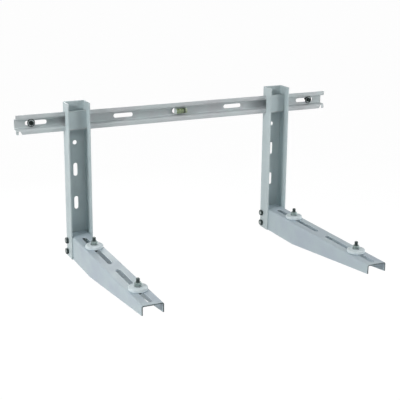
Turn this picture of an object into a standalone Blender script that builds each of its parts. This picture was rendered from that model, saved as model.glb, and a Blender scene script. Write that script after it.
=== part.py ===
"""Wall bracket for an outdoor unit.

A slotted rail of folded sheet is screwed to the wall. Two folded uprights hook over it and slide along it
to suit the feet of the unit, and a tapered arm is bolted into the foot of each upright. Units are metres
and +Z is up. The wall is the plane y = 0, the room is toward -y, and the origin is the middle of the
rail's back face.
"""
import math
from typing import NamedTuple

import bmesh
import bpy
from mathutils import Matrix, Vector

MM = 0.001

# Fits: the gap between pieces that touch, and the play of a bolt in its hole
SEAT_GAP = 0.3 * MM
BOLT_PLAY = 0.3 * MM

# Rail: a hat section with its crown on the wall and its brims turned up and down in front
RAIL_LENGTH = 800 * MM
RAIL_HEIGHT = 44 * MM
RAIL_DEPTH = 18 * MM
RAIL_CROWN = 25 * MM
RAIL_SHEET = 2 * MM
RAIL_CROWN_BEND = 2 * MM
RAIL_BRIM_BEND = 3.5 * MM
RAIL_SLOT_WIDTH = 10 * MM
END_SLOT_LENGTH = 50 * MM
END_SLOT_INSET = 49 * MM
INNER_SLOT_LENGTH = 48 * MM
INNER_SLOT_SPACING = 286 * MM
WINDOW_LENGTH = 37 * MM
WINDOW_HEIGHT = 13 * MM
STOP_TAB_WIDTH = 6 * MM
STOP_NOTCH_MOUTH = 7.5 * MM
STOP_NOTCH_ROOT = 3.5 * MM
STOP_NOTCH_HEIGHT = 7.8 * MM

# Spirit level: a barrel with two caps, lying in a holder that clips into the window
LEVEL_LENGTH = 28.4 * MM
LEVEL_CENTRE = 1.2 * MM
LEVEL_RADIUS = 6 * MM
LEVEL_LEFT_CAP = 6.5 * MM
LEVEL_RIGHT_CAP = 4.5 * MM
LEVEL_CAP_EDGE = 0.8 * MM
HOLDER_HEIGHT = 14.6 * MM
HOLDER_CLIP_LENGTH = 24 * MM
HOLDER_FLOOR = 1 * MM

# Uprights: channels with the web on the wall and the flanges toward the room
LEFT_BRACKET_FROM_END = 138 * MM
RIGHT_BRACKET_FROM_END = 144 * MM
UPRIGHT_WIDTH = 52 * MM
UPRIGHT_DEPTH = 40 * MM
UPRIGHT_SHEET = 2.5 * MM
UPRIGHT_BEND = 1.5 * MM
UPRIGHT_HEIGHT = 365 * MM
UPRIGHT_RISE = 42.5 * MM
NOTCH_PLAY = 0.5 * MM
SADDLE_HEIGHT = 41 * MM
SADDLE_RELIEF = 2.5 * MM
ROUND_HOLE_RADIUS = 5 * MM
ROUND_HOLE_DROP = 54 * MM
WEB_SLOT_WIDTH = 10 * MM
WEB_SLOT_LENGTH = 31 * MM
WEB_SLOT_DROP = 118 * MM
WEB_SLOT_PITCH = 80 * MM
WEB_SLOT_COUNT = 2

# Arms: channels open below, inside the flanges of the uprights
ARM_SHEET = 2.5 * MM
ARM_BEND = 1.5 * MM
ARM_REACH = 465 * MM
ARM_HEIGHT = 53.5 * MM
ARM_STRAIGHT = 158 * MM
ARM_TIP_HEIGHT = 20 * MM
ARM_SLOT_WIDTH = 11 * MM
ARM_SLOT_BRIDGE = 36 * MM
ARM_SLOT_TIP_INSET = 12.5 * MM
ARM_SLOT_WALL_INSET = 48.5 * MM


class HexSize(NamedTuple):
    """The sizes of one screw thread's shank, hexagon head and nut."""

    shank_radius: float
    across_flats: float
    crown_radius: float
    head_height: float
    nut_height: float
    edge: float
    bore_radius: float


# Fasteners: M8 for the arms and the feet, M6 for the wall
M8 = HexSize(4 * MM, 13 * MM, 6.8 * MM, 5.3 * MM, 6.5 * MM, 0.85 * MM, 4 * MM + BOLT_PLAY)
M6 = HexSize(3 * MM, 10 * MM, 5.25 * MM, 4.2 * MM, 5 * MM, 0.7 * MM, 3 * MM + BOLT_PLAY)
SHANK_CHAMFER = 1 * MM
SHANK_TIP_RADIUS = 0.8 * MM
SIDE_BOLT_LENGTH = 16 * MM
SIDE_BOLT_FROM_WALL = 12 * MM
SIDE_BOLT_FOOT = 12.5 * MM
SIDE_BOLT_TOP = 15 * MM
SIDE_BOLT_COUNT = 2

# Feet: a pad, a washer and a nut on a bolt, at a distance from the middle of their arm slot
FOOT_PAD_RADIUS = 20 * MM
FOOT_PAD_HEIGHT = 7.5 * MM
FOOT_PAD_ROUND = 2.2 * MM
FOOT_WASHER_RADIUS = 8.5 * MM
FOOT_WASHER_SHEET = 1.6 * MM
FOOT_BOLT_LENGTH = 28 * MM
BACK_FOOT_SHIFT = -15.5 * MM
FRONT_FOOT_SHIFT = 27.5 * MM

# Wall screws in the end slots of the rail
WALL_SCREW_FROM_END = 38 * MM
WALL_SCREW_LENGTH = 20 * MM
WALL_SCREW_POINT = 5 * MM
WALL_WASHER_RADIUS = 9 * MM
WALL_WASHER_SHEET = 1.6 * MM

# Facets
BEND_STEPS = 4
HEX_SIDES = 18
ROUND_SIDES = 24
PAD_SIDES = 32
SLOT_END_STEPS = 10
CUT_MARGIN = 5 * MM

# Places that follow from the sizes above
RAIL_HALF = RAIL_HEIGHT / 2
LEFT_BRACKET_X = -RAIL_LENGTH / 2 + LEFT_BRACKET_FROM_END
RIGHT_BRACKET_X = RAIL_LENGTH / 2 - RIGHT_BRACKET_FROM_END
UPRIGHT_TOP = UPRIGHT_RISE
UPRIGHT_FOOT = UPRIGHT_RISE - UPRIGHT_HEIGHT
NOTCH_DEPTH = RAIL_DEPTH + NOTCH_PLAY
ARM_BACK = UPRIGHT_SHEET + UPRIGHT_BEND + SEAT_GAP
ARM_WIDTH = UPRIGHT_WIDTH - 2 * (UPRIGHT_SHEET + SEAT_GAP)
ARM_TOP = UPRIGHT_FOOT + ARM_HEIGHT
SIDE_BOLT_PITCH = (ARM_HEIGHT - SIDE_BOLT_FOOT - SIDE_BOLT_TOP) / (SIDE_BOLT_COUNT - 1)
ARM_SLOT_LENGTH = (ARM_REACH - ARM_SLOT_TIP_INSET - ARM_SLOT_WALL_INSET - ARM_SLOT_BRIDGE) / 2
BACK_SLOT_CENTRE = ARM_SLOT_WALL_INSET + ARM_SLOT_LENGTH / 2
FRONT_SLOT_CENTRE = ARM_REACH - ARM_SLOT_TIP_INSET - ARM_SLOT_LENGTH / 2
LEVEL_DEPTH = RAIL_SHEET + SEAT_GAP + HOLDER_FLOOR + SEAT_GAP + LEVEL_RADIUS

# Axes that a flat outline is drawn in, and the axis that it is drawn out along
PLAN = Matrix(((1, 0, 0), (0, 1, 0), (0, 0, 1)))
ALONG_X = Matrix(((0, 0, 1), (1, 0, 0), (0, 1, 0)))
ALONG_Y = Matrix(((1, 0, 0), (0, 0, 1), (0, 1, 0)))


def paint(name, colour, roughness, metallic=0.0):
    """A plain material with the colour, roughness and metallic value of one finish."""
    material = bpy.data.materials.new(name)
    material.use_nodes = True
    shader = material.node_tree.nodes["Principled BSDF"]
    shader.inputs["Base Color"].default_value = (*colour, 1.0)
    shader.inputs["Roughness"].default_value = roughness
    shader.inputs["Metallic"].default_value = metallic
    material.diffuse_color = (*colour, 1.0)
    return material


def place(name, mesh, material=None, parent=None, location=(0, 0, 0), turn=None):
    """Puts a mesh in the scene as a named object."""
    piece = bpy.data.objects.new(name, mesh)
    bpy.context.collection.objects.link(piece)
    piece.parent = parent
    piece.location = location
    if turn is not None:
        piece.rotation_euler = turn
    if material is not None and not mesh.materials:
        mesh.materials.append(material)
    return piece


def finished_mesh(name, shape):
    """A mesh from a bmesh, with its faces pointing out and its round faces smooth."""
    bmesh.ops.recalc_face_normals(shape, faces=shape.faces)
    mesh = bpy.data.meshes.new(name)
    shape.to_mesh(mesh)
    shape.free()
    mesh.shade_smooth()
    mesh.set_sharp_from_angle(angle=math.radians(35))
    return mesh


def add_prism(shape, outline, start, end, axes):
    """Adds a closed outline drawn out from start to end along the third of the axes."""
    rings = []
    for level in (start, end):
        rings.append([shape.verts.new(axes @ Vector((u, v, level))) for u, v in outline])
    shape.faces.new(rings[0])
    shape.faces.new(rings[1])
    count = len(outline)
    for index in range(count):
        after = (index + 1) % count
        shape.faces.new((rings[0][index], rings[0][after], rings[1][after], rings[1][index]))


def prism_mesh(name, outline, start, end, axes):
    """A mesh of one closed outline drawn out along an axis."""
    shape = bmesh.new()
    add_prism(shape, outline, start, end, axes)
    return finished_mesh(name, shape)


def box_outline(left, right, low, high):
    """The four corners of an upright rectangle."""
    return [(left, low), (right, low), (right, high), (left, high)]


def circle_outline(centre, radius, sides=ROUND_SIDES):
    """The corners of a circle."""
    turns = [2 * math.pi * step / sides for step in range(sides)]
    return [(centre[0] + radius * math.cos(turn), centre[1] + radius * math.sin(turn)) for turn in turns]


def slot_outline(centre, length, width, upright=False):
    """A slot with round ends, level or upright, of the given length over its ends."""
    radius = width / 2
    reach = length / 2 - radius
    points = []
    for side, first in ((1, -math.pi / 2), (-1, math.pi / 2)):
        for step in range(SLOT_END_STEPS + 1):
            turn = first + math.pi * step / SLOT_END_STEPS
            points.append((side * reach + radius * math.cos(turn), radius * math.sin(turn)))
    if upright:
        points = [(-v, u) for u, v in points]
    return [(centre[0] + u, centre[1] + v) for u, v in points]


def folded_outline(corners, sheet, bends):
    """The section of a sheet whose middle line is folded at each inner corner, with round bends.

    corners are the points of the middle line, and bends the inside radius at each inner corner.
    """
    points = [Vector(corner) for corner in corners]
    half = sheet / 2
    near, far = [], []

    def mark(middle, normal):
        near.append(middle + normal * half)
        far.append(middle - normal * half)

    def normal_of(direction):
        return Vector((-direction.y, direction.x))

    mark(points[0], normal_of((points[1] - points[0]).normalized()))
    for index, bend in enumerate(bends, start=1):
        into = (points[index] - points[index - 1]).normalized()
        out = (points[index + 1] - points[index]).normalized()
        turn = math.atan2(into.x * out.y - into.y * out.x, into.dot(out))
        side = math.copysign(1, turn)
        radius = bend + half
        setback = radius * math.tan(abs(turn) / 2)
        centre = points[index] - into * setback + normal_of(into) * side * radius
        for step in range(BEND_STEPS + 1):
            normal = Matrix.Rotation(turn * step / BEND_STEPS, 2) @ normal_of(into)
            mark(centre - normal * side * radius, normal)
    mark(points[-1], normal_of((points[-1] - points[-2]).normalized()))
    return [tuple(point) for point in near + far[::-1]]


def hex_radius(across_flats, turn):
    """The distance from the middle of a hexagon to its edge, in the direction of a turn."""
    sector = math.pi / 3
    return across_flats / 2 / math.cos((turn + sector / 2) % sector - sector / 2)


def turned_mesh(name, rings, sides, hollow=False):
    """A mesh from rings of (height, radius), where a radius may be a function of the turn.

    A solid is closed by flat ends. A hollow one is closed from its last ring to its first.
    """
    shape = bmesh.new()
    loops = []
    for height, radius in rings:
        loop = []
        for step in range(sides):
            turn = 2 * math.pi * (step + 0.5) / sides
            reach = radius(turn) if callable(radius) else radius
            loop.append(shape.verts.new((reach * math.cos(turn), reach * math.sin(turn), height)))
        loops.append(loop)
    pairs = list(zip(loops, loops[1:]))
    if hollow:
        pairs.append((loops[-1], loops[0]))
    else:
        shape.faces.new(loops[0])
        shape.faces.new(loops[-1])
    for lower, upper in pairs:
        for step in range(sides):
            after = (step + 1) % sides
            shape.faces.new((lower[step], lower[after], upper[after], upper[step]))
    return finished_mesh(name, shape)


def helper(name, mesh, parent):
    """An object that only shapes another one, and isn't part of the model."""
    guide = place(name, mesh, parent=parent)
    guide.hide_render = True
    guide.display_type = "WIRE"
    return guide


def combine(piece, name, mesh, operation, parent=None):
    """Cuts a mesh out of a piece, or joins it on."""
    modifier = piece.modifiers.new(name, "BOOLEAN")
    modifier.operation = operation
    modifier.solver = "EXACT"
    modifier.object = helper(piece.name + "_" + name, mesh, parent)


def hex_profiles(size):
    """The edge of a head or nut, and the same edge where the corners are turned off."""

    def full(turn):
        return hex_radius(size.across_flats, turn)

    def crown(turn):
        return min(full(turn), size.crown_radius)

    return full, crown


def bolt_mesh(name, size, length, point=SHANK_CHAMFER):
    """A hexagon head below z = 0 and a shank up from it, with a chamfered or pointed end."""
    full, crown = hex_profiles(size)
    rings = [
        (-size.head_height, crown),
        (-size.head_height + size.edge, full),
        (0, full),
        (0, size.shank_radius),
        (length - point, size.shank_radius),
        (length, max(size.shank_radius - point, SHANK_TIP_RADIUS)),
    ]
    return turned_mesh(name, rings, HEX_SIDES)


def nut_mesh(name, size):
    """A hexagon nut standing on z = 0, with the shank's play in its bore."""
    full, crown = hex_profiles(size)
    rings = [
        (0, crown),
        (size.edge, full),
        (size.nut_height - size.edge, full),
        (size.nut_height, crown),
        (size.nut_height, size.bore_radius),
        (0, size.bore_radius),
    ]
    return turned_mesh(name, rings, HEX_SIDES, hollow=True)


def washer_mesh(name, size, radius, sheet):
    """A flat round washer standing on z = 0."""
    rings = [(0, radius), (sheet, radius), (sheet, size.bore_radius), (0, size.bore_radius)]
    return turned_mesh(name, rings, ROUND_SIDES, hollow=True)


def foot_pad_mesh():
    """A round pad with rounded edges and a bore for the bolt."""
    rings = []
    for centre, first in ((FOOT_PAD_ROUND, -math.pi / 2), (FOOT_PAD_HEIGHT - FOOT_PAD_ROUND, 0)):
        for step in range(BEND_STEPS):
            turn = first + math.pi / 2 * step / (BEND_STEPS - 1)
            reach = FOOT_PAD_RADIUS - FOOT_PAD_ROUND + FOOT_PAD_ROUND * math.cos(turn)
            rings.append((centre + FOOT_PAD_ROUND * math.sin(turn), reach))
    rings += [(FOOT_PAD_HEIGHT, M8.bore_radius), (0, M8.bore_radius)]
    return turned_mesh("foot_pad", rings, PAD_SIDES, hollow=True)


def rail_section():
    """The hat section, as (y, z) points."""
    front = -RAIL_DEPTH + RAIL_SHEET / 2
    back = -RAIL_SHEET / 2
    ledge = RAIL_CROWN / 2 - RAIL_SHEET / 2
    corners = [
        (front, RAIL_HALF),
        (front, ledge),
        (back, ledge),
        (back, -ledge),
        (front, -ledge),
        (front, -RAIL_HALF),
    ]
    bends = (RAIL_BRIM_BEND, RAIL_CROWN_BEND, RAIL_CROWN_BEND, RAIL_BRIM_BEND)
    return folded_outline(corners, RAIL_SHEET, bends)


def rail_slots_mesh():
    """The slots and the level window, as one cutter through the crown."""
    shape = bmesh.new()
    for side in (-1, 1):
        end = side * (RAIL_LENGTH / 2 - END_SLOT_INSET)
        inner = side * INNER_SLOT_SPACING / 2
        for place_x, length in ((end, END_SLOT_LENGTH), (inner, INNER_SLOT_LENGTH)):
            outline = slot_outline((place_x, 0), length, RAIL_SLOT_WIDTH)
            add_prism(shape, outline, -RAIL_SHEET - CUT_MARGIN, CUT_MARGIN, ALONG_Y)
    window = slot_outline((0, 0), WINDOW_LENGTH, WINDOW_HEIGHT)
    add_prism(shape, window, -RAIL_SHEET - CUT_MARGIN, CUT_MARGIN, ALONG_Y)
    return finished_mesh("rail_slots", shape)


def stop_notches_mesh():
    """The notch near each end of the lower brim, wider at its mouth, which leaves the stop tab."""
    shape = bmesh.new()
    mouth = -RAIL_HALF - CUT_MARGIN
    root = -RAIL_HALF + STOP_NOTCH_HEIGHT
    depth = root - mouth
    spread = (STOP_NOTCH_MOUTH - STOP_NOTCH_ROOT) * depth / STOP_NOTCH_HEIGHT
    for side in (-1, 1):
        tab = RAIL_LENGTH / 2 - STOP_TAB_WIDTH
        inner = tab - STOP_NOTCH_ROOT
        outline = [
            (side * tab, mouth),
            (side * tab, root),
            (side * inner, root),
            (side * (inner - spread), mouth),
        ]
        front = -RAIL_DEPTH - CUT_MARGIN
        add_prism(shape, outline, front, -RAIL_DEPTH + RAIL_SHEET + RAIL_BRIM_BEND, ALONG_Y)
    return finished_mesh("stop_notches", shape)


def build_rail(steel):
    """The folded rail with its slots, its window and its stop tabs."""
    section = rail_section()
    mesh = prism_mesh("rail", section, -RAIL_LENGTH / 2, RAIL_LENGTH / 2, ALONG_X)
    rail = place("rail", mesh, steel)
    combine(rail, "slots", rail_slots_mesh(), "DIFFERENCE")
    combine(rail, "stops", stop_notches_mesh(), "DIFFERENCE")


def level_cap_mesh(name, length):
    """A cap of the level's barrel, from z = 0, with its free edge eased."""
    rings = [
        (0, LEVEL_RADIUS),
        (length - LEVEL_CAP_EDGE, LEVEL_RADIUS),
        (length, LEVEL_RADIUS - LEVEL_CAP_EDGE),
    ]
    return turned_mesh(name, rings, ROUND_SIDES)


def build_level(clear_plastic, dark_plastic, vial_plastic):
    """The spirit level: a vial between two caps, in a holder clipped into the window."""
    left = LEVEL_CENTRE - LEVEL_LENGTH / 2
    right = LEVEL_CENTRE + LEVEL_LENGTH / 2
    axis_y = -LEVEL_DEPTH
    vial_left = left + LEVEL_LEFT_CAP + SEAT_GAP
    vial_right = right - LEVEL_RIGHT_CAP - SEAT_GAP

    back = -RAIL_SHEET - SEAT_GAP
    outline = box_outline(axis_y, back, -HOLDER_HEIGHT / 2, HOLDER_HEIGHT / 2)
    holder = place("level_holder", prism_mesh("level_holder", outline, left, right, ALONG_X), clear_plastic)
    clip_half = WINDOW_HEIGHT / 2 - SEAT_GAP
    clip = box_outline(back - HOLDER_FLOOR / 2, -SEAT_GAP, -clip_half, clip_half)
    clip_mesh = prism_mesh("clip", clip, -HOLDER_CLIP_LENGTH / 2, HOLDER_CLIP_LENGTH / 2, ALONG_X)
    combine(holder, "clip", clip_mesh, "UNION")
    trough = circle_outline((axis_y, 0), LEVEL_RADIUS + SEAT_GAP)
    trough_mesh = prism_mesh("trough", trough, left - CUT_MARGIN, right + CUT_MARGIN, ALONG_X)
    combine(holder, "trough", trough_mesh, "DIFFERENCE")

    quarter = math.pi / 2
    vial_rings = [(0, LEVEL_RADIUS), (vial_right - vial_left, LEVEL_RADIUS)]
    vial = turned_mesh("level_vial", vial_rings, ROUND_SIDES)
    place("level_vial", vial, vial_plastic, None, (vial_left, axis_y, 0), (0, quarter, 0))
    right_cap = level_cap_mesh("level_right_cap", LEVEL_RIGHT_CAP)
    right_seat = (right - LEVEL_RIGHT_CAP, axis_y, 0)
    place("level_right_cap", right_cap, dark_plastic, None, right_seat, (0, quarter, 0))
    left_cap = level_cap_mesh("level_left_cap", LEVEL_LEFT_CAP)
    left_seat = (left + LEVEL_LEFT_CAP, axis_y, 0)
    place("level_left_cap", left_cap, clear_plastic, None, left_seat, (0, -quarter, 0))


def build_wall_screws(dark_steel, zinc):
    """The screw and washer in each end slot of the rail."""
    screw = bolt_mesh("wall_screw", M6, WALL_SCREW_LENGTH, WALL_SCREW_POINT)
    washer = washer_mesh("wall_washer", M6, WALL_WASHER_RADIUS, WALL_WASHER_SHEET)
    face = -RAIL_SHEET - SEAT_GAP
    into_wall = (-math.pi / 2, 0, 0)
    for label, side in (("left", -1), ("right", 1)):
        x = side * (RAIL_LENGTH / 2 - WALL_SCREW_FROM_END)
        seat = face - WALL_WASHER_SHEET
        place("wall_washer_" + label, washer, zinc, None, (x, seat, 0), into_wall)
        place("wall_screw_" + label, screw, dark_steel, None, (x, seat - SEAT_GAP, 0), into_wall)


def channel_outline(width, depth, sheet, bend):
    """A channel with its web at v = 0 and its two flanges down to v = -depth."""
    side = width / 2 - sheet / 2
    corners = [(-side, -depth), (-side, -sheet / 2), (side, -sheet / 2), (side, -depth)]
    return folded_outline(corners, sheet, (bend, bend))


def upright_mesh():
    """The plain channel of an upright."""
    outline = channel_outline(UPRIGHT_WIDTH, UPRIGHT_DEPTH, UPRIGHT_SHEET, UPRIGHT_BEND)
    return prism_mesh("upright", outline, UPRIGHT_FOOT, UPRIGHT_TOP, PLAN)


def rail_notch_mesh():
    """The rail's own section with some play, which is cut out of the back of an upright.

    What is left behind the brims hooks the upright to the rail, clear of the brims' bends.
    """
    tip = RAIL_HALF + NOTCH_PLAY
    ledge = RAIL_CROWN / 2 + NOTCH_PLAY
    brim = -RAIL_DEPTH + RAIL_SHEET + NOTCH_PLAY
    eased = RAIL_BRIM_BEND - NOTCH_PLAY
    upper = [
        (-NOTCH_DEPTH, tip),
        (brim, tip),
        (brim, ledge + eased),
        (brim + eased, ledge),
        (CUT_MARGIN, ledge),
    ]
    outline = upper + [(y, -z) for y, z in reversed(upper)]
    half = UPRIGHT_WIDTH / 2 + CUT_MARGIN
    return prism_mesh("rail_notch", outline, -half, half, ALONG_X)


def saddle_mesh():
    """The strip pressed forward between the flanges, in front of the rail."""
    half = UPRIGHT_WIDTH / 2 - UPRIGHT_SHEET / 2
    outline = box_outline(-half, half, -NOTCH_DEPTH - UPRIGHT_SHEET, -NOTCH_DEPTH)
    return prism_mesh("saddle", outline, RAIL_HALF - SADDLE_HEIGHT, RAIL_HALF, PLAN)


def saddle_reliefs_mesh():
    """The round reliefs at the four corners of the saddle, next to the flanges."""
    shape = bmesh.new()
    reach = UPRIGHT_WIDTH / 2 - UPRIGHT_SHEET - SADDLE_RELIEF
    front = -NOTCH_DEPTH - UPRIGHT_SHEET - CUT_MARGIN
    for side in (-1, 1):
        for height in (RAIL_HALF, RAIL_HALF - SADDLE_HEIGHT):
            outline = circle_outline((side * reach, height), SADDLE_RELIEF)
            add_prism(shape, outline, front, -NOTCH_DEPTH + CUT_MARGIN, ALONG_Y)
    return finished_mesh("saddle_reliefs", shape)


def side_bolt_heights():
    """The heights of the bolts that hold an arm in its upright."""
    return [UPRIGHT_FOOT + SIDE_BOLT_FOOT + SIDE_BOLT_PITCH * index for index in range(SIDE_BOLT_COUNT)]


def side_holes_mesh(width):
    """The bolt holes through both side walls of a channel of the given width."""
    shape = bmesh.new()
    for side in (-1, 1):
        for height in side_bolt_heights():
            outline = circle_outline((-SIDE_BOLT_FROM_WALL, height), M8.bore_radius, HEX_SIDES)
            inner, outer = side * (width / 2 - CUT_MARGIN), side * (width / 2 + CUT_MARGIN)
            add_prism(shape, outline, inner, outer, ALONG_X)
    return finished_mesh("side_holes", shape)


def web_holes_mesh():
    """The round hole and the upright slots in the web of an upright."""
    shape = bmesh.new()
    front = -UPRIGHT_SHEET - CUT_MARGIN
    add_prism(shape, circle_outline((0, -ROUND_HOLE_DROP), ROUND_HOLE_RADIUS), front, CUT_MARGIN, ALONG_Y)
    for index in range(WEB_SLOT_COUNT):
        centre = (0, -WEB_SLOT_DROP - WEB_SLOT_PITCH * index)
        outline = slot_outline(centre, WEB_SLOT_LENGTH, WEB_SLOT_WIDTH, upright=True)
        add_prism(shape, outline, front, CUT_MARGIN, ALONG_Y)
    return finished_mesh("web_holes", shape)


def build_upright(label, axis, steel):
    """A folded upright: channel, rail notch, saddle, reliefs, wall holes and bolt holes."""
    upright = place(label + "_upright", upright_mesh(), steel, axis)
    combine(upright, "rail_notch", rail_notch_mesh(), "DIFFERENCE", axis)
    combine(upright, "saddle", saddle_mesh(), "UNION", axis)
    combine(upright, "reliefs", saddle_reliefs_mesh(), "DIFFERENCE", axis)
    combine(upright, "web_holes", web_holes_mesh(), "DIFFERENCE", axis)
    combine(upright, "side_holes", side_holes_mesh(UPRIGHT_WIDTH), "DIFFERENCE", axis)


def arm_mesh():
    """The plain channel of an arm, open below and drawn out from the wall."""
    outline = channel_outline(ARM_WIDTH, ARM_HEIGHT, ARM_SHEET, ARM_BEND)
    raised = [(u, ARM_TOP + v) for u, v in outline]
    return prism_mesh("arm", raised, -ARM_REACH, -ARM_BACK, ALONG_Y)


def arm_taper_mesh():
    """What is cut off below an arm so that its sides taper to the tip."""
    fall = (ARM_HEIGHT - ARM_TIP_HEIGHT) / (ARM_REACH - ARM_STRAIGHT)
    tip = ARM_TOP - ARM_TIP_HEIGHT + fall * CUT_MARGIN
    below = UPRIGHT_FOOT - CUT_MARGIN
    knee = -ARM_STRAIGHT + CUT_MARGIN
    outline = [
        (-ARM_REACH - CUT_MARGIN, below),
        (knee, below),
        (knee, UPRIGHT_FOOT - fall * CUT_MARGIN),
        (-ARM_REACH - CUT_MARGIN, tip),
    ]
    half = ARM_WIDTH / 2 + CUT_MARGIN
    return prism_mesh("arm_taper", outline, -half, half, ALONG_X)


def arm_slots_mesh():
    """The two long slots in the top face of an arm."""
    shape = bmesh.new()
    for from_wall in (BACK_SLOT_CENTRE, FRONT_SLOT_CENTRE):
        outline = slot_outline((0, -from_wall), ARM_SLOT_LENGTH, ARM_SLOT_WIDTH, upright=True)
        add_prism(shape, outline, ARM_TOP - ARM_SHEET - CUT_MARGIN, ARM_TOP + CUT_MARGIN, PLAN)
    return finished_mesh("arm_slots", shape)


def build_arm(label, axis, steel):
    """A folded arm: channel, taper, top slots and bolt holes."""
    arm = place(label + "_arm", arm_mesh(), steel, axis)
    combine(arm, "taper", arm_taper_mesh(), "DIFFERENCE", axis)
    combine(arm, "slots", arm_slots_mesh(), "DIFFERENCE", axis)
    combine(arm, "side_holes", side_holes_mesh(ARM_WIDTH), "DIFFERENCE", axis)


def build_side_bolts(label, axis, bolt, nut, dark_steel):
    """The bolts through the upright and the arm, with their nuts inside the arm."""
    for side_label, side in (("left", -1), ("right", 1)):
        inward = (0, -side * math.pi / 2, 0)
        seat = side * (UPRIGHT_WIDTH / 2 + SEAT_GAP)
        nut_seat = side * (ARM_WIDTH / 2 - ARM_SHEET - SEAT_GAP)
        for index, height in enumerate(side_bolt_heights(), start=1):
            name = f"{label}_side_bolt_{side_label}_{index}"
            place(name, bolt, dark_steel, axis, (seat, -SIDE_BOLT_FROM_WALL, height), inward)
            name = f"{label}_side_nut_{side_label}_{index}"
            place(name, nut, dark_steel, axis, (nut_seat, -SIDE_BOLT_FROM_WALL, height), inward)


def build_feet(label, axis, meshes, rubber, zinc, dark_steel):
    """The two feet of an arm: bolt, pad, washer and nut."""
    pad, washer, bolt, nut = meshes
    pad_seat = ARM_TOP + SEAT_GAP
    washer_seat = pad_seat + FOOT_PAD_HEIGHT + SEAT_GAP
    nut_seat = washer_seat + FOOT_WASHER_SHEET + SEAT_GAP
    head_seat = ARM_TOP - ARM_SHEET - SEAT_GAP
    back = BACK_SLOT_CENTRE + BACK_FOOT_SHIFT
    front = FRONT_SLOT_CENTRE + FRONT_FOOT_SHIFT
    for place_label, from_wall in (("back", back), ("front", front)):
        stem = f"{label}_{place_label}_foot_"
        place(stem + "pad", pad, rubber, axis, (0, -from_wall, pad_seat))
        place(stem + "washer", washer, zinc, axis, (0, -from_wall, washer_seat))
        place(stem + "nut", nut, dark_steel, axis, (0, -from_wall, nut_seat))
        place(stem + "bolt", bolt, dark_steel, axis, (0, -from_wall, head_seat))


def build_bracket(label, x, finishes):
    """One upright with its arm, bolts and feet, under an empty on its sliding axis."""
    steel, rubber, zinc, dark_steel = finishes
    axis = place(label + "_bracket_axis", None, location=(x, 0, 0))
    nut = nut_mesh(label + "_nut", M8)
    side_bolt = bolt_mesh(label + "_side_bolt", M8, SIDE_BOLT_LENGTH)
    build_upright(label, axis, steel)
    build_arm(label, axis, steel)
    build_side_bolts(label, axis, side_bolt, nut, dark_steel)
    washer = washer_mesh(label + "_foot_washer", M8, FOOT_WASHER_RADIUS, FOOT_WASHER_SHEET)
    foot_bolt = bolt_mesh(label + "_foot_bolt", M8, FOOT_BOLT_LENGTH)
    build_feet(label, axis, (foot_pad_mesh(), washer, foot_bolt, nut), rubber, zinc, dark_steel)


def main():
    """Clears the scene and builds the rail and the two brackets."""
    for leftover in list(bpy.data.objects):
        bpy.data.objects.remove(leftover)
    steel = paint("painted_steel", (0.46, 0.52, 0.54), 0.45)
    dark_steel = paint("dark_steel", (0.10, 0.12, 0.12), 0.40, 1.0)
    zinc = paint("zinc_plate", (0.55, 0.57, 0.58), 0.35, 1.0)
    rubber = paint("pale_rubber", (0.62, 0.68, 0.70), 0.60)
    clear_plastic = paint("grey_plastic", (0.55, 0.58, 0.58), 0.35)
    dark_plastic = paint("green_plastic", (0.06, 0.09, 0.05), 0.35)
    vial_plastic = paint("vial_green", (0.35, 0.45, 0.12), 0.15)
    build_rail(steel)
    build_level(clear_plastic, dark_plastic, vial_plastic)
    build_wall_screws(dark_steel, zinc)
    for label, x in (("left", LEFT_BRACKET_X), ("right", RIGHT_BRACKET_X)):
        build_bracket(label, x, (steel, rubber, zinc, dark_steel))


main()
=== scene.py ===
"""Wall bracket for an outdoor unit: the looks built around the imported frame.

A slotted steel rail carries a small spirit level and two folded uprights that slide along it, each with a
tapered arm bolted into its foot. Units are metres, +Z is up, the wall is the plane y = 0 and the room is
toward -y. Every sheet piece is folded from the same sizes as its solid, with rounder bends and eased edges.
"""
from __future__ import annotations

import logging
import math
from dataclasses import dataclass, field
from enum import Enum
from typing import Callable, Optional, Sequence, Union

import bmesh
import bpy
from bpy.types import ID, Material, Mesh, Node, NodeSocket, NodeTree, Object
from mathutils import Matrix, Vector

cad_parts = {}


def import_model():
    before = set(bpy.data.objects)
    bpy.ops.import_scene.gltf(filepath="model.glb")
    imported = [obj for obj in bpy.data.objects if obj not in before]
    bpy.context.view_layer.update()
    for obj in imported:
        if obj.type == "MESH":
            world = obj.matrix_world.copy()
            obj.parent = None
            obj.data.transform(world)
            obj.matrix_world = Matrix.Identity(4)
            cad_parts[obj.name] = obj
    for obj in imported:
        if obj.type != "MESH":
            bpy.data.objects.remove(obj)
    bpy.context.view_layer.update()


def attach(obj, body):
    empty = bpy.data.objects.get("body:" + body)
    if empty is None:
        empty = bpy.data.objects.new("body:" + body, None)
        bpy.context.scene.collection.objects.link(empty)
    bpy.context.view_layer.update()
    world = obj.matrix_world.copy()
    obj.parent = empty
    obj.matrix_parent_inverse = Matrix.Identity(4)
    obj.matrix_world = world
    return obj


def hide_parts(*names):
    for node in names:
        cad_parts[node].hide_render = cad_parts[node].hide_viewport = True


LOG = logging.getLogger("wall_bracket")

MM = 0.001
QUARTER = math.pi / 2

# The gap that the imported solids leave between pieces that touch, and the play of a bolt in its hole
SEAT_GAP = 0.3 * MM
BOLT_PLAY = 0.3 * MM

# How far a cutter runs past what it cuts
CUT_MARGIN = 5 * MM

# Steps of a sheet bend, of a slot's round end and of a full turn
BEND_STEPS = 8
SLOT_END_STEPS = 14
ROUND_SIDES = 48

# Edges sharper than this stay sharp in the shading and are eased
SHARP_ANGLE = math.radians(32)

# The eased edge of a cold-headed hexagon, and the round face under a bolt's head
HEX_EASE = 0.15 * MM
WASHER_FACE = 0.5 * MM

# A punched washer's edges are rolled over by a fifth of its thickness
BURR_SHARE = 0.2

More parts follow.
